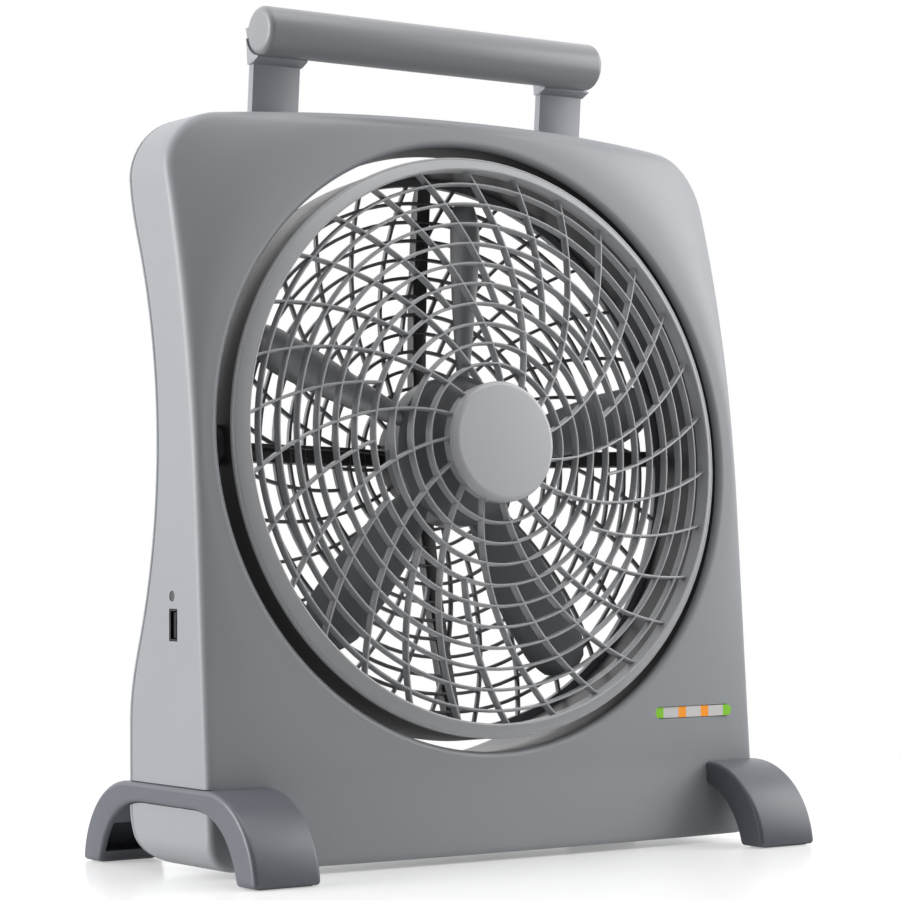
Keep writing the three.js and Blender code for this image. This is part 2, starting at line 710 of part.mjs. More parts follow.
// A band that follows the housing's back from under the heel up to a height, in (y, z)
function doorShape(grow, wall) {
  const steps = 10;
  const heelZ = (y) => {
    const reach = Math.max(y - (REAR_Y - REAR_HEEL), 0);
    return HOUSING_BOTTOM + REAR_HEEL - Math.sqrt(REAR_HEEL ** 2 - reach ** 2);
  };
  const low = heelZ(DOOR_FRONT - grow);
  const zs = Array.from({ length: steps + 1 }, (_, i) => between(low, DOOR_TOP + grow, (i / steps) ** 1.6));
  const slope = (z) => (rearY(z + 0.1) - rearY(z - 0.1)) / 0.2;
  const inward = (z, by) => {
    const size = Math.hypot(1, slope(z));
    return new THREE.Vector2(rearY(z) - by / size, z + (by * slope(z)) / size);
  };
  const outside = zs.map((z) => inward(z, grow > 0 ? -4 : 0));
  const inside = zs.map((z) => inward(z, wall)).reverse();
  return new THREE.Shape([...outside, ...inside]);
}

add("battery_door", extrudeX(doorShape(0, DOOR_WALL), -DOOR_HALF, DOOR_HALF), plastic(BODY));
const doorOpening = extrudeX(doorShape(GAP, WALL + 2), -DOOR_HALF - GAP, DOOR_HALF + GAP);

const CELL_Z = HOUSING_BOTTOM + WALL + GAP + CELL_RADIUS;
const rowStart = (-CELL_COUNT / 2) * CELL_LENGTH;
for (let i = 0; i < CELL_COUNT; i++) {
  const nub = 2;
  const profile = [
    [0, 0],
    [CELL_RADIUS - 1, 0],
    [CELL_RADIUS, 1],
    [CELL_RADIUS, CELL_LENGTH - nub - 1],
    [CELL_RADIUS - 1, CELL_LENGTH - nub],
    [4.7, CELL_LENGTH - nub],
    [4.7, CELL_LENGTH - GAP],
    [0, CELL_LENGTH - GAP],
  ].map(([r, x]) => new THREE.Vector2(r, x));
  const geometry = new THREE.LatheGeometry(profile, 16).rotateZ(-Math.PI / 2);
  geometry.translate(rowStart + i * CELL_LENGTH, CELL_Y, CELL_Z);
  add(`battery_${i + 1}`, orient(geometry), plastic(0x3b3d40, 0.4));
}

const CONTACT_SIZE = 10;
const SPRING_LENGTH = 4;
const contactPlate = (from) =>
  box(
    [from, CELL_Y - CONTACT_SIZE, CELL_Z - CONTACT_SIZE],
    [from + 0.8, CELL_Y + CONTACT_SIZE, CELL_Z + CONTACT_SIZE],
  );
add("battery_contact", contactPlate(-rowStart + GAP), metal(0xc8c8ca));

function springSolid() {
  const turns = 2.5;
  const end = rowStart - GAP - 0.5;
  const at = (t) => {
    const turn = 2 * Math.PI * turns * t;
    const radius = 8 - 3 * t;
    return new THREE.Vector3(
      end - SPRING_LENGTH * (1 - t),
      CELL_Y + radius * Math.cos(turn),
      CELL_Z + radius * Math.sin(turn),
    );
  };
  const path = new THREE.CatmullRomCurve3(Array.from({ length: 31 }, (_, i) => at(i / 30)));
  const wire = new THREE.Shape();
  wire.absarc(0, 0, 0.5, 0, 2 * Math.PI);
  const geometry = new THREE.ExtrudeGeometry(wire, {
    steps: 30,
    curveSegments: 2,
    extrudePath: path,
    bevelEnabled: false,
  });
  return orient(geometry);
}
add("battery_spring", springSolid(), metal(0xc8c8ca));
const springPlateX = rowStart - 2 * GAP - 2 * 0.5 - SPRING_LENGTH - 0.8;
add("battery_spring_plate", contactPlate(springPlateX), metal(0xc8c8ca));

const DIVIDER_Y = CELL_Y - CELL_RADIUS - 1.7;
add(
  "battery_divider",
  box([rowStart - 2, DIVIDER_Y, HOUSING_BOTTOM + WALL + GAP], [-rowStart + 2, DIVIDER_Y + 1.2, CELL_Z + 12]),
  plastic(0x6d6f73, 0.6),
);

// ---- Indicator lens and its lights ----

const ledX = (i) => LENS_X + (i - (LED_COUNT - 1) / 2) * LED_PITCH;
const lensFront = frontY(LENS_X, LENS_Z);

// A bar with round ends, flat to the panel, between two depths behind it
function lensBar(front, back, grow) {
  const half = LENS_WIDTH / 2 - LENS_HEIGHT / 2;
  const radius = LENS_HEIGHT / 2 + grow;
  const [from, to] = [lensFront + front, lensFront + back];
  const middle = box([LENS_X - half, from, LENS_Z - radius], [LENS_X + half, to, LENS_Z + radius]);
  const ends = [-1, 1].map((side) => cylinder("y", radius, from, to, [LENS_X + side * half, LENS_Z], 16));
  return union([middle, ...ends]);
}
const ledShape = (i, grow) =>
  cylinder("y", LED_RADIUS + grow, lensFront - (grow > 0 ? 3 : 0), lensFront + 6, [ledX(i), LENS_Z], 12);
const lensSeat = lensBar(-4, WALL + 3, GAP);
const ledColors = [0x5fd02a, 0xff9a1f, 0xff9a1f, 0x5fd02a];
const ledBores = ledColors.map((_, i) => ledShape(i, GAP / 2));
add("led_lens", cut(lensBar(0.2, LENS_THICKNESS, 0), ledBores), plastic(0xd6d6d4, 0.25));
ledColors.forEach((color, i) => add(`led_${i + 1}`, ledShape(i, 0), plastic(color, 0.2)));
add(
  "led_board",
  box(
    [LENS_X - LENS_WIDTH / 2, lensFront + 6 + GAP, LENS_Z - 8],
    [LENS_X + LENS_WIDTH / 2 - 4, lensFront + 7.6 + GAP, LENS_Z + 6],
  ),
  plastic(0x1f5a33, 0.5),
);

// ---- Left side: USB outlet, charge light and their board ----

const SIDE_INNER = HALF_WIDTH - WALL;
const usbBox = (grow, from, to) =>
  box(
    [from, USB_Y - USB_WIDTH / 2 - grow, USB_Z - USB_HEIGHT / 2 - grow],
    [to, USB_Y + USB_WIDTH / 2 + grow, USB_Z + USB_HEIGHT / 2 + grow],
  );
const USB_FACE = -HALF_WIDTH + 0.2;
const usbShell = usbBox(0, USB_FACE, USB_FACE + USB_DEPTH);
const usbRoom = usbBox(-0.6, USB_FACE - 1, USB_FACE + USB_DEPTH - 1.5);
const usbTongue = box(
  [USB_FACE + 1, USB_Y - 0.3, USB_Z - USB_HEIGHT / 2 + 1.2],
  [USB_FACE + USB_DEPTH - 1, USB_Y + 1.7, USB_Z + USB_HEIGHT / 2 - 1.2],
);
add("usb_port", usbShell.subtract(usbRoom).add(usbTongue), metal(0xb8b8ba));
const chargeAt = [CHARGE_LED_Y, CHARGE_LED_Z];
const chargeLight = (grow, to) => cylinder("x", 2 + grow, USB_FACE - grow * 4, to, chargeAt, 12);
add("charge_led", chargeLight(0, USB_FACE + USB_DEPTH), plastic(0x4a4c50, 0.2));
const boardX = HALF_WIDTH - USB_DEPTH - 1;
add("usb_board", box([-boardX, -16, 96], [-boardX + 1.6, 10, 128]), plastic(0x1f5a33, 0.5));

// ---- Right side: speed button, its switch and the power inlet ----

const buttonBore = cylinder("x", BUTTON_RADIUS + GAP, SIDE_INNER - 1, HALF_WIDTH + 5, [BUTTON_Y, BUTTON_Z]);
const buttonAt = [BUTTON_Y, BUTTON_Z];
const buttonCap = cylinder("x", BUTTON_RADIUS, SIDE_INNER - 1, HALF_WIDTH + BUTTON_PROUD, buttonAt);
const buttonFlange = cylinder("x", BUTTON_RADIUS + 1.5, SIDE_INNER - 1.4, SIDE_INNER - GAP, buttonAt);
add("speed_button", buttonCap.add(buttonFlange), plastic(TRIM));
const switchTop = SIDE_INNER - 1.4 - BUTTON_TRAVEL - GAP;
add(
  "speed_switch",
  box([boardX + GAP, BUTTON_Y - 5, BUTTON_Z - 5], [switchTop, BUTTON_Y + 5, BUTTON_Z + 5]),
  plastic(DARK),
);
add("switch_board", box([boardX - 1.6, -16, 82], [boardX, 10, 126]), plastic(0x1f5a33, 0.5));
const jackBarrel = cylinder("x", JACK_RADIUS, boardX + GAP, HALF_WIDTH - 0.2, [BUTTON_Y, JACK_Z]);
const jackRoom = cylinder("x", JACK_RADIUS - 1.2, boardX + 2.5, HALF_WIDTH + 1, [BUTTON_Y, JACK_Z]);
const jackPin = cylinder("x", 1, boardX + 2, HALF_WIDTH - 2, [BUTTON_Y, JACK_Z], 12);
add("power_inlet", jackBarrel.subtract(jackRoom).add(jackPin), plastic(DARK));
const jackBore = cylinder("x", JACK_RADIUS + GAP, SIDE_INNER - 3, HALF_WIDTH + 1, [BUTTON_Y, JACK_Z]);

// ---- Tilt pivots ----

const PIVOT = onAxis(0, 0, -PIVOT_DEPTH);
const COLLAR_OUTER = TUNNEL_RADIUS + WALL;
const pinEnd = SIDE_INNER - 1;
const tiltPin = (side, grow) =>
  cylinder(
    "x",
    PIN_RADIUS + grow,
    Math.min(side * (HEAD_RADIUS - DUCT_WALL), side * pinEnd),
    Math.max(side * (HEAD_RADIUS - DUCT_WALL), side * pinEnd),
    [PIVOT[1], PIVOT[2]],
  );
for (const side of [-1, 1]) {
  const name = side < 0 ? "left" : "right";
  const span = [side * (COLLAR_OUTER + GAP), side * (SIDE_INNER - GAP)].sort((a, b) => a - b);
  const bush = cylinder("x", PIN_RADIUS + BUSH_WALL, ...span, [PIVOT[1], PIVOT[2]]);
  add(`tilt_bush_${name}`, bush.subtract(tiltPin(side, 0.15)), plastic(0xd8d8d2, 0.6));
  add(`tilt_pin_${name}`, tiltPin(side, 0), metal(0xb0b0b2));
}

// ---- Housing shells with their cuts ----

const pinBores = [-1, 1].map((side) => tiltPin(side, 0.4));
const archCuts = [-1, 1].map((side) => {
  const span = [side * BAND_INNER, side * (HALF_WIDTH + 10)].sort((a, b) => a - b);
  return extrudeX(archShape(GAP), ...span);
});
const BACKING_HEIGHT = 20;
const backing = (side, fromY, toY) => {
  const span = [side * (BAND_INNER - WALL), side * (HALF_WIDTH - 1.5)].sort((a, b) => a - b);
  return box([span[0], fromY, FOOT_TOP + 3 - BACKING_HEIGHT], [span[1], toY, FOOT_TOP + 3]);
};
const panelEdge = frontY(HALF_WIDTH, FOOT_TOP - BACKING_HEIGHT);
const backingEnd = partingY(FOOT_TOP - BACKING_HEIGHT + 3) - GAP;
const frontBackings = [-1, 1].map((side) => backing(side, panelEdge + 2, backingEnd));
const rearBackings = [-1, 1].map((side) => backing(side, partingY(FOOT_TOP) + GAP, REAR_Y - 2.2));
const footBores = footScrews.map((s) => footScrew(s, GAP));

add(
  "front_housing",
  cut(union([frontShell(), ...coverPosts, ...frontBackings]), [
    ...archCuts,
    ...pinBores,
    ...footBores,
    ...coverScrews.map((s) => coverScrew(s, GAP)),
    pocketSpace(-1),
    pocketSpace(1),
    lensSeat,
    usbBox(GAP, -HALF_WIDTH - 1, -SIDE_INNER + 1),
    chargeLight(GAP, -SIDE_INNER + 1),
    buttonBore,
    jackBore,
    doorOpening,
  ]),
  plastic(BODY),
);
add(
  "rear_housing",
  cut(union([rearShell(), pocketBlock(-1), pocketBlock(1), ...rearBackings]), [
    ...archCuts,
    ...footBores,
    ...coverScrews.map((s) => coverScrew(s, GAP)),
    pocketSpace(-1),
    pocketSpace(1),
    handlePin(-1, GAP),
    handlePin(1, GAP),
    doorOpening,
  ]),
  plastic(BODY),
);

// ---- Fan head, drawn about its own axis: +Z forwards, +Y up ----

const swirl = (r) => SWIRL_LOG * Math.log(r / HUB_RADIUS) + SWIRL_LINEAR * (r - HUB_RADIUS);
const polar = (r, angle, z) => [r * Math.cos(angle), r * Math.sin(angle), z];

// A lattice of rings and ribs. edges are the radii where bands start and end; solidAt says whether
// the cell of a band and a sector is filled. Sectors alternate between rib and space.
function lattice({ edges, sides, solidAt, top, bottom }) {
  const sectors = sides.length;
  const points = [];
  for (const level of [top, bottom]) {
    for (const r of edges) {
      for (const side of sides) points.push(polar(r, side(r), level(r)));
    }
  }
  const layer = edges.length * sectors;
  const at = (band, sector, under = false) =>
    (under ? layer : 0) + band * sectors + ((sector + sectors) % sectors);
  const filled = (band, sector) =>
    band >= 0 && band < edges.length - 1 && solidAt(band, (sector + sectors) % sectors);
  const index = [];
  const quad = (a, b, c, d) => index.push(a, b, c, a, c, d);
  for (let band = 0; band < edges.length - 1; band++) {
    for (let s = 0; s < sectors; s++) {
      if (!filled(band, s)) continue;
      const [a, b, c, d] = [at(band, s), at(band + 1, s), at(band + 1, s + 1), at(band, s + 1)];
      const [e, f, g, h] = [a, b, c, d].map((i) => i + layer);
      quad(a, b, c, d);
      quad(h, g, f, e);
      if (!filled(band - 1, s)) quad(a, d, h, e);
      if (!filled(band + 1, s)) quad(c, b, f, g);
      if (!filled(band, s - 1)) quad(b, a, e, f);
      if (!filled(band, s + 1)) quad(d, c, g, h);
    }
  }
  return indexed(points, index);
}

const ringRadii = (first, pitch, count) => Array.from({ length: count }, (_, i) => first + i * pitch);
const bandEdges = (start, radii, width, end) => {
  return [start, ...radii.flatMap((r) => [r - width / 2, r + width / 2]), end];
};

// Swirling ribs between rings: edges as radii, ribs alternating with spaces
function frontBars(ribs, edges, solidAt, top, bottom) {
  const offset = RIM_PHASE - swirl(RIM_INNER);
  const middle = (i, r) => (i * 2 * Math.PI) / ribs + offset + swirl(Math.max(r, HUB_RADIUS));
  const sides = Array.from({ length: ribs }, (_, i) =>
    [-1, 1].map((edge) => (r) => middle(i, r) + (edge * BAR_WIDTH) / 2 / r),
  ).flat();
  return lattice({ edges, sides, solidAt, top, bottom });
}

function frontGrille() {
  const rings = ringRadii(RING_FIRST, RING_PITCH, RING_COUNT);
  const cone = (r) => RIM_PROUD + CONE_HEIGHT - 2.3 - CONE_SLOPE * Math.max(r, HUB_RADIUS);
  const innerRings = rings.slice(0, SHORT_RIB_RING);
  const innerEdges = bandEdges(HUB_RADIUS - 0.5, innerRings, BAR_WIDTH, rings[SHORT_RIB_RING]);
  const inner = frontBars(
    MAIN_RIBS,
    [HUB_HOLE, ...innerEdges],
    (band, s) => band % 2 === 0 || s % 2 === 0,
    cone,
    (r) => cone(r) - BAR_DEPTH,
  );
  const outerRings = rings.slice(SHORT_RIB_RING);
  const wallStart = RIM_INNER - 0.2;
  const edges = bandEdges(outerRings[0] - BAR_WIDTH / 2, outerRings, BAR_WIDTH, wallStart).slice(1);
  const rim = [
    [RIM_INNER + 0.1, RIM_RISE, -3.5],
    [HEAD_RADIUS - DUCT_WALL, RIM_RISE / 2 + 0.4, -2.5],
    [HEAD_RADIUS, 0, -2.5],
  ];
  const level = (r, column, otherwise) => {
    const row = rim.find(([radius]) => Math.abs(radius - r) < 1e-6);
    return row ? RIM_PROUD + row[column] : otherwise;
  };
  const lastRib = edges.length - 2;
  const outer = frontBars(
    2 * MAIN_RIBS,
    [...edges, ...rim.map(([radius]) => radius)],
    (band, s) => band % 2 === 0 || s % 2 === 0 || band > lastRib,
    (r) => level(r, 1, cone(r)),
    (r) => level(r, 2, cone(r) - BAR_DEPTH),
  );
  return inner.add(outer);
}
const HUB_FACE = RIM_PROUD + CONE_HEIGHT - 2.3 - CONE_SLOPE * HUB_RADIUS;
add("front_grille", frontGrille(), plastic(GRILLE), head);

function hubCap() {
  const [low, high] = [HUB_FACE + GAP, HUB_FACE + GAP + HUB_CAP_HEIGHT];
  const edge = [0, 30, 60, 90].map((a) => [
    HUB_RADIUS - HUB_CAP_ROUND * (1 - Math.cos(degrees(a))),
    high - HUB_CAP_ROUND * (1 - Math.sin(degrees(a))),
  ]);
  return turned([[0, low], [HUB_RADIUS, low], ...edge, [0, high]], 32);
}
add("hub_cap", hubCap(), plastic(0xa4a6aa), head);

// Moves a solid given in the housing's frame into the head's frame
const toHead = new THREE.Matrix4()
  .makeRotationX(head.rotation.x)
  .setPosition(0, HEAD_Y, HEAD_Z)
  .invert();
const inHead = (shape) => solid(geometryOf(shape).applyMatrix4(toHead));

function ductRing() {
  const front = RIM_PROUD - 2.5 - GAP;
  const back = front - DUCT_DEPTH;
  const outer = HEAD_RADIUS - 0.4;
  const inner = HEAD_RADIUS - DUCT_WALL;
  const tube = turnedRing([[outer, front], [outer, back], [inner, back], [inner, front]], 56);
  const bosses = [-1, 1].map((side) => {
    const span = [side * (inner + 0.6), side * (HEAD_RADIUS + 2.6)].sort((a, b) => a - b);
    return inHead(cylinder("x", 9, ...span, [PIVOT[1], PIVOT[2]]));
  });
  return cut(union([tube, ...bosses]), [-1, 1].map((side) => inHead(tiltPin(side, GAP))));
}
add("duct_ring", ductRing(), plastic(0x97999d), head);

const DUCT_BACK = RIM_PROUD - 2.5 - GAP - DUCT_DEPTH;
const MOTOR_BACK = DUCT_BACK - GAP - REAR_DOME + 1.5;

function rearGrille() {
  const pitch = (2 * Math.PI) / REAR_RIBS;
  const outer = HEAD_RADIUS - 5;
  const step = (outer - REAR_HUB) / (REAR_RINGS + 1);
  const rings = ringRadii(REAR_HUB + step, step, REAR_RINGS);
  const edges = bandEdges(REAR_HUB - 2, rings, REAR_BAR, outer + 1);
  const sides = Array.from({ length: REAR_RIBS }, (_, i) => [-1, 1].map(
    (edge) => (r) => i * pitch - REAR_SWIRL * (r - REAR_HUB) + (edge * REAR_BAR) / 2 / r,
  )).flat();
  const solidAt = (band, s) => band % 2 === 1 || s % 2 === 0;
  const front = DUCT_BACK - GAP;
  const top = (r) => front - REAR_DOME * Math.cos((Math.PI / 2) * Math.min(r / outer, 1));
  const bars = lattice({ edges, sides, solidAt, top, bottom: (r) => top(r) - 2.5 });
  const rim = turnedRing([
    [HEAD_RADIUS - 0.4, front],
    [HEAD_RADIUS - 1.5, front - 3],
    [outer - 1, front - 3],
    [outer - 1, front],
  ], 48);
  const seat = turned([
    [0, MOTOR_BACK - 3],
    [REAR_HUB, MOTOR_BACK - 3],
    [REAR_HUB, MOTOR_BACK + 4],
    [MOTOR_RADIUS + GAP, MOTOR_BACK + 4],
    [MOTOR_RADIUS + GAP, MOTOR_BACK],
    [0, MOTOR_BACK],
  ], 28);
  const spokes = [0, 1, 2, 3].map((i) => {
    const reach = outer + 1;
    const shape = new THREE.Shape();
    shape.moveTo(REAR_HUB - 2, top(REAR_HUB));
    for (const share of [0.25, 0.5, 0.75, 1]) {
      const r = between(REAR_HUB, reach, share);
      shape.lineTo(r, top(r));
    }
    for (const share of [1, 0.75, 0.5, 0.25, 0]) {
      const r = between(REAR_HUB - 2, reach, share);
      shape.lineTo(r, top(r) - SPOKE_DEPTH * (share === 1 ? 0.5 : 1));
    }
    const geometry = new THREE.ExtrudeGeometry(shape, { depth: SPOKE_WIDTH, bevelEnabled: false });
    geometry.translate(0, 0, -SPOKE_WIDTH / 2).rotateX(Math.PI / 2).rotateZ((i * Math.PI) / 2);
    return orient(geometry);
  });
  const screws = [-1, 1].map((side) => motorScrew(side, GAP));
  return cut(union([bars, rim, seat, ...spokes]), screws);
}

const MOTOR_SCREW_X = 8;
function motorScrew(side, grow) {
  const low = MOTOR_BACK - 3 - GAP - SCREW_HEAD_HEIGHT;
  const at = [side * MOTOR_SCREW_X, 0];
  const screwHead = cylinder("z", SCREW_HEAD + grow, low - grow, low + SCREW_HEAD_HEIGHT, at, 12);
  return screwHead.add(cylinder("z", SCREW_RADIUS + grow, low, low + SCREW_HEAD_HEIGHT + 6, at, 12));
}
for (const side of [-1, 1]) {
  add(`motor_screw_${side < 0 ? "left" : "right"}`, motorScrew(side, 0), metal(0x3a3a3c), head);
}
add("rear_grille", rearGrille(), plastic(0x4a4b4e), head);

function motorSolid() {
  const [back, front] = [MOTOR_BACK + GAP, MOTOR_BACK + GAP + MOTOR_LENGTH];
  const can = turned([
    [0, back],
    [MOTOR_RADIUS, back],
    [MOTOR_RADIUS, front - 1.5],
    [MOTOR_RADIUS - 1.5, front],
    [6, front],
    [6, front + 1.5],
    [0, front + 1.5],
  ], 24);
  const screws = [-1, 1].map((side) => motorScrew(side, GAP));
  const shaftBore = cylinder("z", SHAFT_RADIUS + GAP, front - 10, front + 5, [0, 0], 16);
  return cut(can, [shaftBore, ...screws]);
}
add("motor", motorSolid(), metal(0x9a9a9c), head);

// The motor's lead, from its can along the left spoke to the tilt pivot
function motorLead() {
  const back = MOTOR_BACK + 9;
  const end = HEAD_RADIUS - DUCT_WALL - 3.4;
  const path = new THREE.CatmullRomCurve3([
    new THREE.Vector3(-MOTOR_RADIUS - 1.4, 0, back),
    new THREE.Vector3(-40, 2, back - 1),
    new THREE.Vector3(-end * 0.63, 3, back + 0.5),
    new THREE.Vector3(-end * 0.88, 3, back + 3.4),
    new THREE.Vector3(-end, 0, back + 11),
  ]);
  const wire = new THREE.Shape();
  wire.absarc(0, 0, 1, 0, 2 * Math.PI);
  const geometry = new THREE.ExtrudeGeometry(wire, {
    steps: 16,
    curveSegments: 4,
    extrudePath: path,
    bevelEnabled: false,
  });
  return orient(geometry);
}
add("motor_lead", motorLead(), plastic(0x232324, 0.6), head);

// ---- Rotor ----

function bladeSolid(index) {
  const stations = [0, 0.12, 0.35, 0.6, 0.85, 0.96, 1];
  const width = [0.5, 0.72, 0.92, 1, 0.95, 0.72, 0.42];
  const start = ROTOR_HUB - 2;
  const middle = ROTOR_FACE - ROTOR_HUB_DEPTH / 2 - 1.2;
  const loops = stations.map((share, i) => {
    const r = between(start, ROTOR_RADIUS, share);
    const pitch = between(degrees(42), degrees(24), share);
    const half = (BLADE_CHORD * width[i]) / 2;
    const side = (t, lift) => {
      const along = t * half;
      const camber = 2.5 * (1 - t * t);
      const across = along * Math.cos(pitch) - (camber + lift) * Math.sin(pitch);
      const up = along * Math.sin(pitch) + (camber + lift) * Math.cos(pitch);
      return [r, across + share * 6, middle + up];
    };
    const ts = [-1, -0.4, 0.4, 1];
    const lift = BLADE_THICKNESS / 2;
    return [...ts.map((t) => side(t, lift)), ...ts.toReversed().map((t) => side(t, -lift))];
  });
  const turn = BLADE_PHASE + (index * 2 * Math.PI) / BLADES;
  const placed = loops.map((loop) =>
    loop.map(([x, y, z]) => {
      const [c, s] = [Math.cos(turn), Math.sin(turn)];
      return [x * c - y * s, x * s + y * c, z];
    }),
  );
  return loopLoft(placed);
}

const SHAFT_FRONT = ROTOR_FACE + 3.5;
const shaftSolid = (grow) => {
  const back = MOTOR_BACK + MOTOR_LENGTH - 9;
  return cylinder("z", SHAFT_RADIUS + grow, back - grow, SHAFT_FRONT + grow, [0, 0], 16);
};

function rotorSolid() {
  const back = ROTOR_FACE - ROTOR_HUB_DEPTH;
  const cup = turned([
    [0, ROTOR_FACE],
    [ROTOR_HUB - 5, ROTOR_FACE],
    [ROTOR_HUB, ROTOR_FACE - 3],
    [ROTOR_HUB, back],
    [ROTOR_HUB - 2.5, back],
    [ROTOR_HUB - 2.5, ROTOR_FACE - 5],
    [ROTOR_HUB - 6, ROTOR_FACE - 2.5],
    [6, ROTOR_FACE - 2.5],
    [6, ROTOR_FACE - 6.5],
    [0, ROTOR_FACE - 6.5],
  ], 30);
  const blades = Array.from({ length: BLADES }, (_, i) => bladeSolid(i));
  return cut(union([cup, ...blades]), [shaftSolid(GAP)]);
}
add("fan_rotor", rotorSolid(), plastic(0x6a6b6e, 0.5), head);
add("motor_shaft", shaftSolid(0), metal(0xb8b8ba), head);
add(
  "rotor_clip",
  turnedRing([
    [SHAFT_RADIUS + GAP, ROTOR_FACE + GAP],
    [4, ROTOR_FACE + GAP],
    [4, ROTOR_FACE + GAP + 1.4],
    [SHAFT_RADIUS + GAP, ROTOR_FACE + GAP + 1.4],
  ], 12),
  metal(0xb8b8ba),
  head,
);

export default root;
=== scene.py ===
"""A portable battery fan in a plain studio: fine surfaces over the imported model's frame."""

from math import acos, asin, atan2, cos, hypot, log, pi, radians, sin, sqrt, tan

import bmesh
import bpy
from mathutils import Matrix, Vector


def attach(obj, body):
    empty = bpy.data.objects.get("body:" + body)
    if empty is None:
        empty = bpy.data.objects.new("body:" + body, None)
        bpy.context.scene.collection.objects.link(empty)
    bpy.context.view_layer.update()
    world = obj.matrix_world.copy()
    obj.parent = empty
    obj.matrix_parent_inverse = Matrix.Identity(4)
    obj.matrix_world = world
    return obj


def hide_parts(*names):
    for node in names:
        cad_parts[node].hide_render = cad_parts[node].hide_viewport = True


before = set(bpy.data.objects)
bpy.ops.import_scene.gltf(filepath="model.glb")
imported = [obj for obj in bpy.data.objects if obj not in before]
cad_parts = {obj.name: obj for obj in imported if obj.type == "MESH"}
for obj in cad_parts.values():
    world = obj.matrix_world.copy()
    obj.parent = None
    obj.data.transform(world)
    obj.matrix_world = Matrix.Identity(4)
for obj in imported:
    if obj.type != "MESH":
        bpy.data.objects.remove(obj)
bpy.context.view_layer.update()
MM = 0.001

# ---- Dimensions, in millimetres ----

GAP = 0.3
WALL = 2.6
HOUSING_WIDTH = 301
HALF = HOUSING_WIDTH / 2
HOUSING_TOP = 336.5
HOUSING_BOTTOM = 3
TOP_CROWN = 4.5
CROWN_REACH = 130
TOP_CORNER = 27
BOTTOM_CORNER = 12
EDGE_ROUND = 3
HEAD_Y = -24.4
HEAD_Z = 186.2
HEAD_TILT = radians(5.3)
SIDE_DROP = 1
SIDE_DROP_TOP = 20
SIDE_DROP_BOTTOM = 4.4
DROP_START_Z = 170
REAR_Y = 36.6
WAIST_Y = 12
WAIST_Z = 187
WAIST_RADIUS = 245
WAIST_BLEND = 8
REAR_HEEL = 24
COVER_LIP = 4
HEAD_RADIUS = 133
TUNNEL_RADIUS = 138.6
LIP_ROUND = 3
COLLAR_DEPTH = 24
PIVOT_DEPTH = 15
TILT_PIN_BORE = 4.4
COLLAR_FLARE = 6
RIM_PROUD = 2.3
DUCT_WALL = 2.8
DUCT_DEPTH = 34
MAIN_RIBS = 15
RING_COUNT = 10
RING_FIRST = 36.4
RING_PITCH = 9.35
SHORT_RIB_RING = 3
BAR_WIDTH = 1.6
BAR_FRONT = 1.0
BAR_DEPTH = 4
HUB_RADIUS = 27.5
HUB_CAP_ROUND = 2.6
HUB_CAP_HEIGHT = 4.8
CONE_HEIGHT = 14.6
CONE_SLOPE = 0.086
RIM_INNER = 126.4
RIM_RISE = 4.2
RIM_PHASE = radians(43)
SWIRL_LOG = radians(8.2)
SWIRL_LINEAR = radians(0.22)
FOOT_LENGTH = 151.8
FOOT_OUTER = HALF + 1.8
FOOT_WIDTH = 32.5
FOOT_TOP = 38
FOOT_ARC = 40.2
FOOT_TREAD = 15.6
FOOT_BAND = 8.6
BAND_INNER = HALF - 2.7
PAD_PROUD = 0.3
FOOT_WALL = 2.6
FOOT_SOLE = 5
FOOT_HOLLOW = 51
FOOT_ROUND = 1.9
LENS_X = 113
LENS_Z = 61.8
LENS_WIDTH = 46.4
LENS_HEIGHT = 5
LED_PITCH = 13.6


# ---- Materials ----


def plastic(name, color, roughness=0.42, grain=0.06, grain_size=0.0006, mottle=0.04, coat=0.0):
    """Moulded plastic: fine spark-eroded grain, a little mottling and uneven gloss."""
    m = bpy.data.materials.new(name)
    m.use_nodes = True
    nodes, links = m.node_tree.nodes, m.node_tree.links
    shader = nodes["Principled BSDF"]
    shader.inputs["Coat Weight"].default_value = coat
    shader.inputs["Coat Roughness"].default_value = 0.3
    place = nodes.new("ShaderNodeTexCoord")
    broad = nodes.new("ShaderNodeTexNoise")
    broad.inputs["Scale"].default_value = 14
    broad.inputs["Detail"].default_value = 4
    links.new(place.outputs["Object"], broad.inputs["Vector"])
    tint = nodes.new("ShaderNodeMix")
    tint.data_type = "RGBA"
    tint.inputs["A"].default_value = (*[c * (1 - mottle) for c in color], 1)
    tint.inputs["B"].default_value = (*[min(c * (1 + mottle), 1) for c in color], 1)
    links.new(broad.outputs["Fac"], tint.inputs["Factor"])
    links.new(tint.outputs["Result"], shader.inputs["Base Color"])
    gloss = nodes.new("ShaderNodeMapRange")
    gloss.inputs["To Min"].default_value = roughness - 0.05
    gloss.inputs["To Max"].default_value = roughness + 0.06
    mid = nodes.new("ShaderNodeTexNoise")
    mid.inputs["Scale"].default_value = 90
    mid.inputs["Detail"].default_value = 5
    links.new(place.outputs["Object"], mid.inputs["Vector"])
    links.new(mid.outputs["Fac"], gloss.inputs["Value"])
    links.new(gloss.outputs["Result"], shader.inputs["Roughness"])
    fine = nodes.new("ShaderNodeTexNoise")
    fine.inputs["Scale"].default_value = 1 / grain_size
    fine.inputs["Detail"].default_value = 2
    links.new(place.outputs["Object"], fine.inputs["Vector"])
    bump = nodes.new("ShaderNodeBump")
    bump.inputs["Strength"].default_value = grain
    bump.inputs["Distance"].default_value = 0.0003
    links.new(fine.outputs["Fac"], bump.inputs["Height"])
    links.new(bump.outputs["Normal"], shader.inputs["Normal"])
    return m


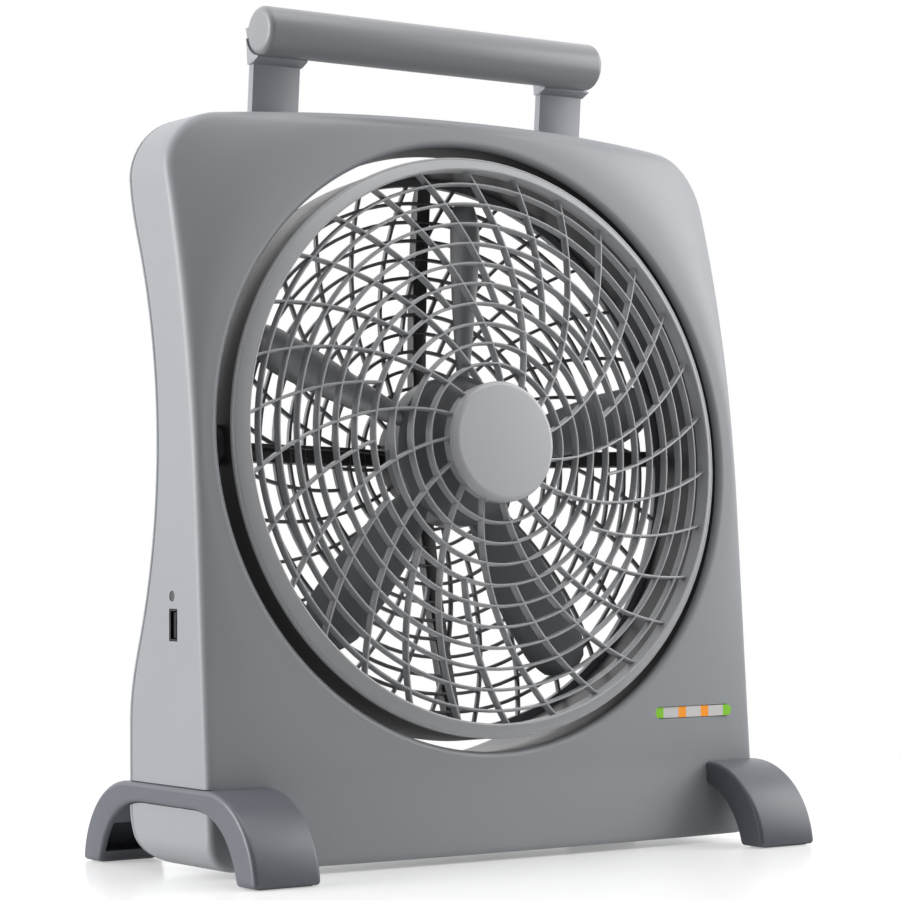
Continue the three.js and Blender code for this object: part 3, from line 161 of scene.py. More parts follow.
def steel(name, color, roughness=0.35, stretch=(1, 1, 30)):
    """Metal with drawn or turned marks and uneven gloss."""
    m = bpy.data.materials.new(name)
    m.use_nodes = True
    nodes, links = m.node_tree.nodes, m.node_tree.links
    shader = nodes["Principled BSDF"]
    shader.inputs["Metallic"].default_value = 1
    place = nodes.new("ShaderNodeTexCoord")
    mapping = nodes.new("ShaderNodeMapping")
    mapping.inputs["Scale"].default_value = [s * 60 for s in stretch]
    links.new(place.outputs["Object"], mapping.inputs["Vector"])
    marks = nodes.new("ShaderNodeTexNoise")
    marks.inputs["Scale"].default_value = 5
    marks.inputs["Detail"].default_value = 6
    links.new(mapping.outputs["Vector"], marks.inputs["Vector"])
    tint = nodes.new("ShaderNodeMix")
    tint.data_type = "RGBA"
    tint.inputs["A"].default_value = (*[c * 0.8 for c in color], 1)
    tint.inputs["B"].default_value = (*[min(c * 1.15, 1) for c in color], 1)
    links.new(marks.outputs["Fac"], tint.inputs["Factor"])
    links.new(tint.outputs["Result"], shader.inputs["Base Color"])
    gloss = nodes.new("ShaderNodeMapRange")
    gloss.inputs["To Min"].default_value = roughness - 0.08
    gloss.inputs["To Max"].default_value = roughness + 0.12
    links.new(marks.outputs["Fac"], gloss.inputs["Value"])
    links.new(gloss.outputs["Result"], shader.inputs["Roughness"])
    bump = nodes.new("ShaderNodeBump")
    bump.inputs["Strength"].default_value = 0.15
    bump.inputs["Distance"].default_value = 0.0001
    links.new(marks.outputs["Fac"], bump.inputs["Height"])
    links.new(bump.outputs["Normal"], shader.inputs["Normal"])
    return m


def glow(material, color, strength):
    shader = material.node_tree.nodes["Principled BSDF"]
    shader.inputs["Emission Color"].default_value = (*color, 1)
    shader.inputs["Emission Strength"].default_value = strength
    return material


BODY = plastic("body_satin", (0.24, 0.25, 0.264), 0.42)
COVER = plastic("cover_satin", (0.24, 0.25, 0.264), 0.42)
# The tunnel's near-black colour is painted shade: it stands in for the shadow on the walls inside the
# opening, not for a darker plastic.
TUNNEL = plastic("tunnel_painted_shade", (0.025, 0.026, 0.028), 0.4)
TRIM = plastic("trim_satin", (0.085, 0.091, 0.107), 0.38)
ARM = plastic("arm_satin", (0.26, 0.27, 0.295), 0.36)
GRIP = plastic("grip_satin", (0.22, 0.224, 0.236), 0.34)
GRILLE = plastic("grille_plastic", (0.3, 0.305, 0.315), 0.3, grain=0.04)
RIM = plastic("rim_plastic", (0.34, 0.345, 0.355), 0.36, grain=0.04, mottle=0.02)
HUB = plastic("hub_satin", (0.4, 0.405, 0.42), 0.38)
ROTOR = plastic("rotor_plastic", (0.16, 0.165, 0.17), 0.34, grain=0.04)
REAR = plastic("rear_grille_plastic", (0.13, 0.133, 0.14), 0.4)
SPOKE = plastic("rear_spoke_plastic", (0.022, 0.022, 0.024), 0.4)
DUCT = plastic("duct_plastic", (0.035, 0.036, 0.04), 0.35)
BLACK = plastic("black_plastic", (0.012, 0.012, 0.013), 0.45)
INNER = plastic("inner_plastic", (0.12, 0.125, 0.13), 0.5)
RUBBER = plastic("pad_rubber", (0.012, 0.012, 0.012), 0.75, grain=0.3, grain_size=0.0009)
ACETAL = plastic("bush_acetal", (0.68, 0.68, 0.63), 0.4)
LENS = plastic("lens_translucent", (0.62, 0.6, 0.59), 0.22, grain=0.02)
GREEN = glow(plastic("led_green", (0.2, 0.5, 0.03), 0.25, grain=0.02), (0.25, 0.6, 0.03), 0.15)
ORANGE = glow(plastic("led_orange", (0.8, 0.27, 0.02), 0.25, grain=0.02), (1.0, 0.35, 0.02), 0.2)
SMOKED = plastic("led_smoked", (0.06, 0.06, 0.065), 0.15, grain=0.02)
BOARD = plastic("circuit_board", (0.015, 0.1, 0.04), 0.3)
CELL = plastic("cell_wrap", (0.05, 0.052, 0.056), 0.28, coat=0.4)
WIRE = plastic("wire_cover", (0.015, 0.015, 0.016), 0.4)
BRIGHT = steel("bright_steel", (0.6, 0.6, 0.61), 0.25)
DARK_STEEL = steel("blackened_steel", (0.06, 0.06, 0.064), 0.35)
ZINC = steel("zinc_steel", (0.42, 0.42, 0.43), 0.3)

# ---- Mesh helpers; points in millimetres ----


def make(name, verts, faces, material, body, slot=None, sharp=35, node=None):
    mesh = bpy.data.meshes.new(name)
    mesh.from_pydata([[c * MM for c in v] for v in verts], [], faces)
    bm = bmesh.new()
    bm.from_mesh(mesh)
    bmesh.ops.recalc_face_normals(bm, faces=bm.faces)
    bm.to_mesh(mesh)
    bm.free()
    obj = bpy.data.objects.new(name, mesh)
    bpy.context.scene.collection.objects.link(obj)
    obj.data.materials.append(material)
    finish_piece(obj, body, sharp, node)
    return obj


def finish_piece(obj, body=None, sharp=35, node=None):
    shade(obj, sharp)
    if body:
        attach(obj, body)
    for n in [node] if isinstance(node, str) else node or []:
        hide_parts(n)


def shade(obj, sharp=35):
    for polygon in obj.data.polygons:
        polygon.use_smooth = True
    obj.data.set_sharp_from_angle(angle=radians(sharp))


def loop_faces(loops, count, closed=True):
    """Faces between equal loops of points."""
    faces = []
    rows = loops if closed else loops - 1
    for i in range(rows):
        a, b = i * count, ((i + 1) % loops) * count
        for j in range(count):
            k = (j + 1) % count
            faces.append((a + j, b + j, b + k, a + k))
    return faces


def band(loops):
    """A closed band of loops, the last joined to the first."""
    return [p for loop in loops for p in loop], loop_faces(len(loops), len(loops[0]))


def loft(loops):
    """A tube of loops with flat ends."""
    count = len(loops[0])
    faces = loop_faces(len(loops), count, closed=False)
    last = (len(loops) - 1) * count
    faces.append(tuple(range(count)))
    faces.append(tuple(last + j for j in range(count)))
    return [p for loop in loops for p in loop], faces


def cut(obj, tools):
    """Cuts tools, as (verts, faces) in millimetres, out of obj."""
    for verts, faces in tools:
        tool = raw("cutter", verts, faces)
        modifier = obj.modifiers.new("cut", "BOOLEAN")
        modifier.operation = "DIFFERENCE"
        modifier.solver = "EXACT"
        modifier.object = tool
        apply_modifiers(obj)
        bpy.data.objects.remove(tool)


def raw(name, verts, faces):
    mesh = bpy.data.meshes.new(name)
    mesh.from_pydata([[c * MM for c in v] for v in verts], [], faces)
    bm = bmesh.new()
    bm.from_mesh(mesh)
    bmesh.ops.recalc_face_normals(bm, faces=bm.faces)
    bm.to_mesh(mesh)
    bm.free()
    obj = bpy.data.objects.new(name, mesh)
    bpy.context.scene.collection.objects.link(obj)
    return obj


def apply_modifiers(obj):
    bpy.context.view_layer.update()
    depsgraph = bpy.context.evaluated_depsgraph_get()
    mesh = bpy.data.meshes.new_from_object(obj.evaluated_get(depsgraph))
    obj.modifiers.clear()
    obj.data = mesh


def bevel(obj, width, segments=3, angle=40):
    modifier = obj.modifiers.new("bevel", "BEVEL")
    modifier.width = width * MM
    modifier.segments = segments
    modifier.limit_method = "ANGLE"
    modifier.angle_limit = radians(angle)
    modifier.harden_normals = False
    apply_modifiers(obj)
    shade(obj, 50)


def box_mesh(low, high):
    verts = [(x, y, z) for z in (low[2], high[2]) for y in (low[1], high[1]) for x in (low[0], high[0])]
    return verts, [(0, 1, 3, 2), (4, 6, 7, 5), (0, 4, 5, 1), (2, 3, 7, 6), (0, 2, 6, 4), (1, 5, 7, 3)]


def cylinder_mesh(axis, radius, start, end, across, segments=48):
    turns = [2 * pi * i / segments for i in range(segments)]
    ring = [(radius * cos(t), radius * sin(t)) for t in turns]
    loops = []
    for at in (start, end):
        if axis == "x":
            loops.append([(at, across[0] + u, across[1] + v) for u, v in ring])
        else:
            loops.append([(across[0] + u, at, across[1] + v) for u, v in ring])
    return loft(loops)


def extrude_x(outline, start, end):
    """A (y, z) outline extruded along X."""
    return loft([[(x, y, z) for y, z in outline] for x in (start, end)])


def arc(centre, radius, start, end, steps):
    """Points on an arc, in degrees."""
    angles = [radians(start + (end - start) * i / steps) for i in range(steps + 1)]
    return [(centre[0] + radius * cos(a), centre[1] + radius * sin(a)) for a in angles]


def between(a, b, share):
    return a + (b - a) * share


# ---- Housing surfaces ----

FLAT_RADIUS = TUNNEL_RADIUS + LIP_ROUND + 4


def on_axis(radius, angle, along):
    s, c = sin(HEAD_TILT), cos(HEAD_TILT)
    up = radius * sin(angle)
    return (radius * cos(angle), HEAD_Y + up * s - along * c, HEAD_Z + up * c + along * s)


def front_y(x, z):
    plane = HEAD_Y + (z - HEAD_Z) * tan(HEAD_TILT)
    above = max(z - DROP_START_Z, 0) / (HOUSING_TOP - DROP_START_Z)
    below = max(DROP_START_Z - z, 0) / DROP_START_Z
    drop = SIDE_DROP + SIDE_DROP_TOP * above**2.2 + SIDE_DROP_BOTTOM * below
    flat = sqrt(max(FLAT_RADIUS**2 - (z - HEAD_Z) ** 2, 0))
    share = max(abs(x) - flat, 0) / (HALF - min(flat, HALF - 4))
    return plane + drop * min(share, 1) ** 2.5


def rear_y(z):
    reach = min(abs(z - WAIST_Z), WAIST_RADIUS * 0.9)
    waist = WAIST_Y + WAIST_RADIUS - sqrt(WAIST_RADIUS**2 - reach**2)
    blend = max(WAIST_BLEND - abs(waist - REAR_Y), 0) / WAIST_BLEND
    back = min(waist, REAR_Y) - blend**2 * WAIST_BLEND / 4
    heel = min(max(HOUSING_BOTTOM + REAR_HEEL - z, 0), REAR_HEEL)
    return back - (REAR_HEEL - sqrt(REAR_HEEL**2 - heel**2))


def inside_outline(x, z, inset):
    half = HALF - inset
    top = HOUSING_TOP - TOP_CROWN * (x / CROWN_REACH) ** 2 - inset
    bottom = HOUSING_BOTTOM + inset
    corner = (TOP_CORNER if z > HEAD_Z else BOTTOM_CORNER) - inset
    across = max(abs(x) - (half - corner), 0)
    along = max(z - (top - corner) if z > HEAD_Z else bottom + corner - z, 0)
    return across**2 + along**2 <= corner**2


def outline_radius(angle, inset=0):
    low, high = 100.0, 300.0
    for _ in range(30):
        middle = (low + high) / 2
        if inside_outline(middle * cos(angle), HEAD_Z + middle * sin(angle), inset):
            low = middle
        else:
            high = middle
    return low


def housing_angles():
    corners = []
    for side in (-1, 1):
        for z, radius, up in (
            (HOUSING_TOP - TOP_CROWN - TOP_CORNER, TOP_CORNER, 1),
            (HOUSING_BOTTOM + BOTTOM_CORNER, BOTTOM_CORNER, -1),
        ):
            for i in range(13):
                turn = radians(i * 7.5)
                x = side * (HALF - radius + radius * cos(turn))
                corners.append(atan2(z + up * radius * sin(turn) - HEAD_Z, x))
        for i in range(9):
            corners.append(atan2(HOUSING_BOTTOM + REAR_HEEL * (0.5 + i / 12) - HEAD_Z, side * HALF))
    full = 2 * pi
    angles = list(corners)
    for i in range(240):
        even = radians(i * 1.5)
        if all(abs((even - a + 3 * pi) % full - pi) > radians(0.6) for a in corners):
            angles.append(even)
    return sorted((a + full) % full for a in angles)


ANGLES = housing_angles()
OUTER = {a: outline_radius(a) for a in ANGLES}
EDGE = {a: outline_radius(a, EDGE_ROUND) for a in ANGLES}
INNER_RADIUS = {a: outline_radius(a, WALL) for a in ANGLES}


def place(radius, angle):
    return radius * cos(angle), HEAD_Z + radius * sin(angle)


def front_at(radius, angle, offset=0):
    x, z = place(radius, angle)
    return (x, front_y(x, z) + offset, z)


def rear_at(radius, angle, offset=0):
    x, z = place(radius, angle)
    return (x, rear_y(z) + offset, z)


def parting_at(radius, angle, offset=0):
    x, z = place(radius, angle)
    return (x, rear_y(z) - COVER_LIP + offset, z)


def spread(start, end, steps):
    return [between(start, end, i / steps) for i in range(steps + 1)]


def front_shell():
    loops = []
    for a in ANGLES:
        outer, edge, inner = OUTER[a], EDGE[a], INNER_RADIUS[a]
        lip = TUNNEL_RADIUS + LIP_ROUND
        loop = [on_axis(TUNNEL_RADIUS, a, -COLLAR_DEPTH), on_axis(TUNNEL_RADIUS, a, -COLLAR_DEPTH / 2)]
        for turn in (0, 15, 30, 45, 60, 75, 90):
            t = radians(turn)
            loop.append(on_axis(TUNNEL_RADIUS + LIP_ROUND * (1 - cos(t)), a, -LIP_ROUND * (1 - sin(t))))
        loop += [front_at(r, a) for r in spread(lip, edge, 14)[1:]]
        for turn in (18, 36, 54, 72, 90):
            t = radians(turn)
            loop.append(front_at(between(edge, outer, sin(t)), a, EDGE_ROUND * (1 - cos(t))))
        start, end = front_at(outer, a, EDGE_ROUND)[1], parting_at(outer, a)[1]
        x, z = place(outer, a)
        loop += [(x, y, z) for y in spread(start, end - 0.5, 4)[1:]]
        x, z = place(outer - 0.5, a)
        loop.append((x, end, z))
        loop.append(parting_at(inner, a))
        loop.append(front_at(inner, a, WALL))
        loop += [front_at(r, a, WALL) for r in spread(lip, edge, 8)[1:-1][::-1]]
        loop += [on_axis(lip + 1, a, -WALL), on_axis(TUNNEL_RADIUS + WALL, a, -LIP_ROUND - WALL)]
        loop.append(on_axis(TUNNEL_RADIUS + WALL, a, -COLLAR_DEPTH))
        loops.append(loop)
    return band(loops)


def rear_shell():
    loops = []
    start = -COLLAR_DEPTH - GAP
    mouth = TUNNEL_RADIUS + 1
    for a in ANGLES:
        outer, edge, inner = OUTER[a], EDGE[a], INNER_RADIUS[a]
        flare = mouth + min(COLLAR_FLARE, (outer - mouth) * 0.2)
        loop = [on_axis(mouth, a, start)]
        first, last = Vector(on_axis(mouth, a, start)), Vector(rear_at(flare, a))
        for share in (0.3, 0.6, 0.85):
            loop.append(tuple(first.lerp(last, share)))
        soft = min(2.5, (edge - flare) * 0.2)
        near = first.lerp(last, 1 - soft / max((last - first).length, 5))
        past = Vector(rear_at(flare + soft, a))
        for t in (0.15, 0.35, 0.5, 0.65, 0.85):
            point = near * (1 - t) ** 2 + last * 2 * t * (1 - t) + past * t**2
            loop.append(tuple(point))
        loop += [rear_at(r, a) for r in spread(flare + soft, edge, 12)]
        for turn in (18, 36, 54, 72, 90):
            t = radians(turn)
            loop.append(rear_at(between(edge, outer, sin(t)), a, -EDGE_ROUND * (1 - cos(t))))
        x, z = place(outer, a)
        loop.append((x, rear_y(z) - COVER_LIP + GAP + 0.5, z))
        x, z = place(outer - 0.5, a)
        loop.append((x, rear_y(z) - COVER_LIP + GAP, z))
        loop.append(parting_at(inner, a, GAP))
        loop.append(rear_at(inner, a, -WALL))
        loop += [rear_at(r, a, -WALL) for r in spread(flare + WALL, min(inner, edge), 6)[:-1][::-1]]
        loop.append(on_axis(mouth + WALL, a, start))
        loops.append(loop)
    return band(loops)


def housing_block(grow):
    loops = []
    mouth = TUNNEL_RADIUS + 1
    for a in ANGLES[::2]:
        outer, edge = OUTER[a] + grow, EDGE[a]
        flare = mouth + min(COLLAR_FLARE, (OUTER[a] - mouth) * 0.2)
        lip = TUNNEL_RADIUS + LIP_ROUND
        loop = [rear_at(20, a, grow)]
        loop += [rear_at(r, a, grow) for r in spread(flare, edge, 6)]
        loop += [rear_at(outer, a, -EDGE_ROUND), front_at(outer, a, EDGE_ROUND)]
        loop += [front_at(r, a, -grow) for r in spread(lip, edge, 6)[::-1]]
        loop.append(front_at(20, a, -grow))
        loops.append(loop)
    return band(loops)


# ---- Feet ----


def arch_outline(grow, steps=28):
    centre = FOOT_LENGTH / 2 - FOOT_ARC
    radius = FOOT_ARC + grow
    floor = PAD_PROUD - grow
    low = FOOT_TOP - FOOT_ARC
    start = asin((floor - low) / radius) * 180 / pi
    points = arc((centre, low), radius, start, 90, steps)
    points += arc((-centre, low), radius, 90, 180 - start, steps)
    tread = FOOT_LENGTH / 2 - FOOT_TREAD - grow
    opening = FOOT_TOP - FOOT_BAND - grow
    curve = []
    for i in range(steps // 2 + 1):
        t = i / (steps // 2)
        y = tread * (1 - t) ** 2 + tread * 0.88 * 2 * t * (1 - t) + tread * 0.4 * t**2
        z = floor * (1 - t) ** 2 + opening * 0.95 * 2 * t * (1 - t) + opening * t**2
        curve.append((y, z))
    points += [(-y, z) for y, z in curve]
    points += curve[::-1]
    return points


def foot_hollow(side):
    """The hollow in each of a foot's legs, open to the arch."""
    centre, low, radius = FOOT_LENGTH / 2 - FOOT_ARC, FOOT_TOP - FOOT_ARC, FOOT_ARC - FOOT_WALL
    start = asin((FOOT_SOLE - low) / radius) * 180 / pi
    end = acos((FOOT_HOLLOW - centre) / radius) * 180 / pi
    outline = [(FOOT_HOLLOW, FOOT_SOLE)] + arc((centre, low), radius, start, end, 12)
    span = (side * (FOOT_OUTER - FOOT_WALL), side * (FOOT_OUTER - FOOT_WIDTH + FOOT_WALL))
    return [extrude_x([(y * flip, z) for y, z in outline], *span) for flip in (1, -1)]


def feet():
    block = housing_block(GAP)
    for side, name in ((-1, "left"), (1, "right")):
        inner = side * (FOOT_OUTER - FOOT_WIDTH)
        arch = raw("arch", *extrude_x(arch_outline(0), inner, side * FOOT_OUTER))
        bevel(arch, FOOT_ROUND, 4, 50)
        cut(arch, [block])
        strap_mesh = extrude_x(arch_outline(0), side * (BAND_INNER + GAP), side * FOOT_OUTER)
        strap = raw(f"foot_{name}_strap", *strap_mesh)
        bevel(strap, FOOT_ROUND, 4, 50)
        modifier = arch.modifiers.new("join", "BOOLEAN")
        modifier.operation = "UNION"
        modifier.solver = "EXACT"
        modifier.object = strap
        apply_modifiers(arch)
        bpy.data.objects.remove(strap)
        cut(arch, foot_hollow(side))
        arch.name = f"foot_{name}_moulding"
        arch.data.materials.clear()
        arch.data.materials.append(TRIM)
        finish_piece(arch, "housing", 40, f"foot_{name}")


feet()

# ---- Housing shells ----

ARM_CENTRE = 80.6
POCKET_HALF = 24.6 / 2 + 0.6
POCKET_FRONT, POCKET_FLOOR = 23.4, 316
POCKET_WALL = 2.2
HANDLE_PIVOT = (30, 326)
HANDLE_PIN_BORE, HANDLE_PIN_HALF = 2.3, 15.4
COVER_SCREWS = ((128, 84), (126, 302))
SCREW_RECESS, SCREW_RECESS_DEPTH = 3.3, 2.7
DOOR_HALF, DOOR_TOP, DOOR_FRONT, DOOR_WALL = 116, 36, 20, 2.2
USB_Y, USB_Z, USB_W, USB_H = -5, 107.2, 6.6, 13.4
BUTTON_Y, BUTTON_Z, BUTTON_R = -4, 114, 6
JACK_Z, JACK_R = 90, 4.2


def pill_mesh(x, z, width, height, start, end, grow=0):
    radius = height / 2 + grow
    half = width / 2 - height / 2
    outline = arc((x + half, z), radius, -90, 90, 12) + arc((x - half, z), radius, 90, 270, 12)
    return loft([[(u, y, v) for u, v in outline] for y in (start, end)])


PIVOT = on_axis(0, 0, -PIVOT_DEPTH)


def tilt_bores():
    """Room for the pins that the fan head tilts on."""
    span = (HEAD_RADIUS - DUCT_WALL, HALF - WALL - 1)
    across = (PIVOT[1], PIVOT[2])
    return [cylinder_mesh("x", TILT_PIN_BORE, s * span[0], s * span[1], across) for s in (-1, 1)]


def arch_cuts():
    tools = []
    for side in (-1, 1):
        tools.append(extrude_x(arch_outline(GAP), side * BAND_INNER, side * (HALF + 10)))
    return tools


def pocket_cuts():
    low, high = (-POCKET_HALF, POCKET_FRONT, POCKET_FLOOR), (POCKET_HALF, 47, 347)
    middles = (-ARM_CENTRE, ARM_CENTRE)
    return [box_mesh((x + low[0], *low[1:]), (x + high[0], *high[1:])) for x in middles]


def port_bore():
    """The opening round the USB port."""
    half_w, half_h = USB_W / 2 + GAP, USB_H / 2 + GAP
    low = (-HALF - 1, USB_Y - half_w, USB_Z - half_h)
    return box_mesh(low, (-HALF + 5, USB_Y + half_w, USB_Z + half_h))


def screw_recesses():
    tools = []
    for x, z in COVER_SCREWS:
        for side in (-1, 1):
            start, end = rear_y(z) - SCREW_RECESS_DEPTH, rear_y(z) + 3
            tools.append(cylinder_mesh("y", SCREW_RECESS, start, end, (side * x, z), 24))
    return tools


def handle_pin_bores():
    tools = []
    for side in (-1, 1):
        start, end = side * ARM_CENTRE - HANDLE_PIN_HALF, side * ARM_CENTRE + HANDLE_PIN_HALF
        tools.append(cylinder_mesh("x", HANDLE_PIN_BORE, start, end, HANDLE_PIVOT, 24))
    return tools


def paint_tunnel_shade(obj):
    """Paints shade into the tunnel round the fan head: its inward-facing walls get a near-black colour that
    stands in for the shadow inside the opening.
    """
    obj.data.materials.append(TUNNEL)
    for polygon in obj.data.polygons:
        x, y, z = (c / MM for c in polygon.center)
        up = (y - HEAD_Y) * sin(HEAD_TILT) + (z - HEAD_Z) * cos(HEAD_TILT)
        along = (z - HEAD_Z) * sin(HEAD_TILT) - (y - HEAD_Y) * cos(HEAD_TILT)
        normal = polygon.normal
        normal_up = normal.y * sin(HEAD_TILT) + normal.z * cos(HEAD_TILT)
        inwards = -(normal.x * x + normal_up * up) / hypot(x, up)
        # Faces that look inward, inside the tunnel and behind its lip, get the painted shade.
        if inwards > 0.5 and hypot(x, up) < TUNNEL_RADIUS + 9 and along < -LIP_ROUND:
            polygon.material_index = len(obj.data.materials) - 1


front = make("front_housing_moulding", *front_shell(), BODY, None)
cut(
    front,
    [
        *tilt_bores(),
        *arch_cuts(),
        *pocket_cuts(),
        pill_mesh(LENS_X, LENS_Z, LENS_WIDTH, LENS_HEIGHT, -40, -24, GAP),
        port_bore(),
        cylinder_mesh("x", 2 + GAP, -HALF - 1, -HALF + 5, (-3.9, 119.6), 24),
        cylinder_mesh("x", BUTTON_R + GAP, HALF - 5, HALF + 1, (BUTTON_Y, BUTTON_Z)),
        cylinder_mesh("x", JACK_R + GAP, HALF - 5, HALF + 1, (BUTTON_Y, JACK_Z)),
    ],
)
paint_tunnel_shade(front)
finish_piece(front, "housing", 32, "front_housing")

rear = make("rear_cover_moulding", *rear_shell(), COVER, None)
for s in (-1, 1):
    block = raw(
        "pocket_wall",
        *box_mesh(
            (s * ARM_CENTRE - POCKET_HALF - 3.7, POCKET_FRONT - POCKET_WALL, POCKET_FLOOR - POCKET_WALL),
            (s * ARM_CENTRE + POCKET_HALF + 3.7, rear_y(POCKET_FLOOR) - 1, 327),
        ),
    )
    modifier = rear.modifiers.new("join", "BOOLEAN")
    modifier.operation = "UNION"
    modifier.solver = "EXACT"
    modifier.object = block
    apply_modifiers(rear)
    bpy.data.objects.remove(block)


def door_outline(grow, wall, steps=16):
    def heel_z(y):
        reach = max(y - (REAR_Y - REAR_HEEL), 0)
        return HOUSING_BOTTOM + REAR_HEEL - sqrt(REAR_HEEL**2 - reach**2)

    low = heel_z(DOOR_FRONT - grow)
    zs = [between(low, DOOR_TOP + grow, (i / steps) ** 1.6) for i in range(steps + 1)]

    def inward(z, by):
        slope = (rear_y(z + 0.1) - rear_y(z - 0.1)) / 0.2
        size = hypot(1, slope)
        return (rear_y(z) - by / size, z + by * slope / size)

    return [inward(z, -4 if grow > 0 else 0) for z in zs] + [inward(z, wall) for z in zs[::-1]]


cut(
    rear,
    [
        *arch_cuts(),
        *pocket_cuts(),
        extrude_x(door_outline(GAP, WALL + 2), -DOOR_HALF - GAP, DOOR_HALF + GAP),
        *screw_recesses(),
        *handle_pin_bores(),
    ],
)
paint_tunnel_shade(rear)
finish_piece(rear, "housing", 32, "rear_housing")

door_mesh = extrude_x(door_outline(0, DOOR_WALL, 24), -DOOR_HALF, DOOR_HALF)
door = make("battery_door_moulding", *door_mesh, COVER, None)
bevel(door, 0.4, 2, 50)
finish_piece(door, "battery_door", 40, "battery_door")

# ---- Front grille, in the head's own directions: u right, v up, w forwards ----


def head_point(u, v, w):
    s, c = sin(HEAD_TILT), cos(HEAD_TILT)
    return (u, HEAD_Y + v * s - w * c, HEAD_Z + v * c + w * s)


def polar(r, angle, w):
    return head_point(r * cos(angle), r * sin(angle), w)


def turned_mesh(loop, steps, closed=True):
    """A ring from a loop of (r, w) points, or a solid whose first and last points are on the axis."""
    loops = [[polar(r, 2 * pi * i / steps, w) for r, w in loop] for i in range(steps)]
    if closed:
        return band(loops)
    count = len(loop)
    verts = [p for one in loops for p in one]
    faces = []
    for i in range(steps):
        a, b = i * count, ((i + 1) % steps) * count
        for j in range(count - 1):
            faces.append((a + j, b + j, b + j + 1, a + j + 1))
    return verts, faces


def join(parts):
    verts, faces = [], []
    for v, f in parts:
        base = len(verts)
        verts += v
        faces += [tuple(base + i for i in face) for face in f]
    return verts, faces


def soft_rect(width, depth, soft):
    """A rounded bar section, across by depth, with its front at 0."""
    half = width / 2
    points = []
    near, far = -soft, -depth + soft
    corners = ((half - soft, near), (-half + soft, near), (-half + soft, far), (half - soft, far))
    for (cx, cy), start in zip(corners, (0, 90, 180, 270)):
        points += arc((cx, cy), soft, start, start + 90, 3)
    return points


def tapered(front, back, depth, soft):
    """A bar section narrower at its front, which is at 0."""
    flank = depth - 2 * soft
    lean = (back - front) / 2 / flank
    points = []
    for x, y in soft_rect(front, depth, soft):
        widen = min(max(-y - soft, 0), flank) * lean
        points.append((x + (widen if x > 0 else -widen), y))
    return points


SECTION = tapered(BAR_FRONT, BAR_WIDTH, BAR_DEPTH, 0.3)



def swirl(r):
    return SWIRL_LOG * log(r / HUB_RADIUS) + SWIRL_LINEAR * (r - HUB_RADIUS)


def cone(r):
    return RIM_PROUD + CONE_HEIGHT - 2.3 - CONE_SLOPE * max(r, HUB_RADIUS)


def front_rib(start_r, phase):
    loops = []
    steps = 26
    offset = RIM_PHASE - swirl(RIM_INNER)
    for i in range(steps + 1):
        r = between(start_r, RIM_INNER + 0.8, i / steps)
        angle = phase + offset + swirl(r)
        ahead = phase + offset + swirl(r + 0.5)
        here = Vector((r * cos(angle), r * sin(angle)))
        along = (Vector(((r + 0.5) * cos(ahead), (r + 0.5) * sin(ahead))) - here).normalized()
        side = Vector((-along.y, along.x))
        loops.append([head_point(here.x + side.x * s, here.y + side.y * s, cone(r) + w) for s, w in SECTION])
    return loft(loops)


def grille_rings():
    parts = []
    for k in range(RING_COUNT):
        r = RING_FIRST + k * RING_PITCH
        parts.append(turned_mesh([(r + s, cone(r) + w) for s, w in SECTION], 120))
    return parts


parts = grille_rings()
for i in range(MAIN_RIBS):
    parts.append(front_rib(HUB_RADIUS - 1.5, i * 2 * pi / MAIN_RIBS))
    parts.append(front_rib(RING_FIRST + SHORT_RIB_RING * RING_PITCH, (i + 0.5) * 2 * pi / MAIN_RIBS))
hub_face = cone(HUB_RADIUS)
parts.append(turned_mesh([(9, hub_face), (9, hub_face - 4), (27.5, hub_face - 4), (27.5, hub_face)], 64))
make("front_grille_bars", *join(parts), GRILLE, "fan_head", "grille_plastic", 40, "front_grille")

# Rim: a bead at the outer edge, a slope that rises inwards, and a bead round the mouth
BEAD = 0.7
MOUTH_BEAD = 0.75
bead = arc((HEAD_RADIUS - BEAD, RIM_PROUD - BEAD), BEAD, 0, 120, 6)
lip_r, lip_w = RIM_INNER + MOUTH_BEAD, RIM_PROUD + RIM_RISE - MOUTH_BEAD
mouth_bead = arc((lip_r, lip_w), MOUTH_BEAD, 40, 180, 7)
profile = [(HEAD_RADIUS, RIM_PROUD - 2.5), *bead, (HEAD_RADIUS - 1.6, RIM_PROUD + 0.35)]
profile.append((RIM_INNER + 2.2, RIM_PROUD + RIM_RISE - 1.7))
profile += [*mouth_bead, (RIM_INNER, RIM_PROUD - 3.5), (HEAD_RADIUS - DUCT_WALL, RIM_PROUD - 2.5)]
make("front_rim", *turned_mesh(profile, 240), RIM, "fan_head", "grille_plastic", 50)

low = hub_face + GAP
high = low + HUB_CAP_HEIGHT
cap = [(0, low), (HUB_RADIUS, low)]
for t in range(0, 91, 10):
    out, rise = HUB_CAP_ROUND * (1 - cos(radians(t))), HUB_CAP_ROUND * (1 - sin(radians(t)))
    cap.append((HUB_RADIUS - out, high - rise))
cap.append((0, high))
make("hub_cap_moulding", *turned_mesh(cap, 128, closed=False), HUB, "fan_head", "hub_plastic", 30, "hub_cap")

# ---- Duct and rear grille ----

front_w = RIM_PROUD - 2.5 - GAP
back_w = front_w - DUCT_DEPTH
outer_r, inner_r = HEAD_RADIUS - 0.4, HEAD_RADIUS - DUCT_WALL
ring = [(outer_r, front_w), (outer_r, back_w + 1), (outer_r - 1, back_w)]
ring += [(inner_r, back_w), (inner_r, front_w)]
duct_parts = [turned_mesh(ring, 200)]
BOSS_RADIUS = 9
for s in (-1, 1):
    span = (s * (inner_r + 0.6), s * (HEAD_RADIUS + 2.6))
    duct_parts.append(cylinder_mesh("x", BOSS_RADIUS, *span, (PIVOT[1], PIVOT[2]), 48))
make("duct_moulding", *join(duct_parts), DUCT, "fan_head", "duct_plastic", 40, "duct_ring")

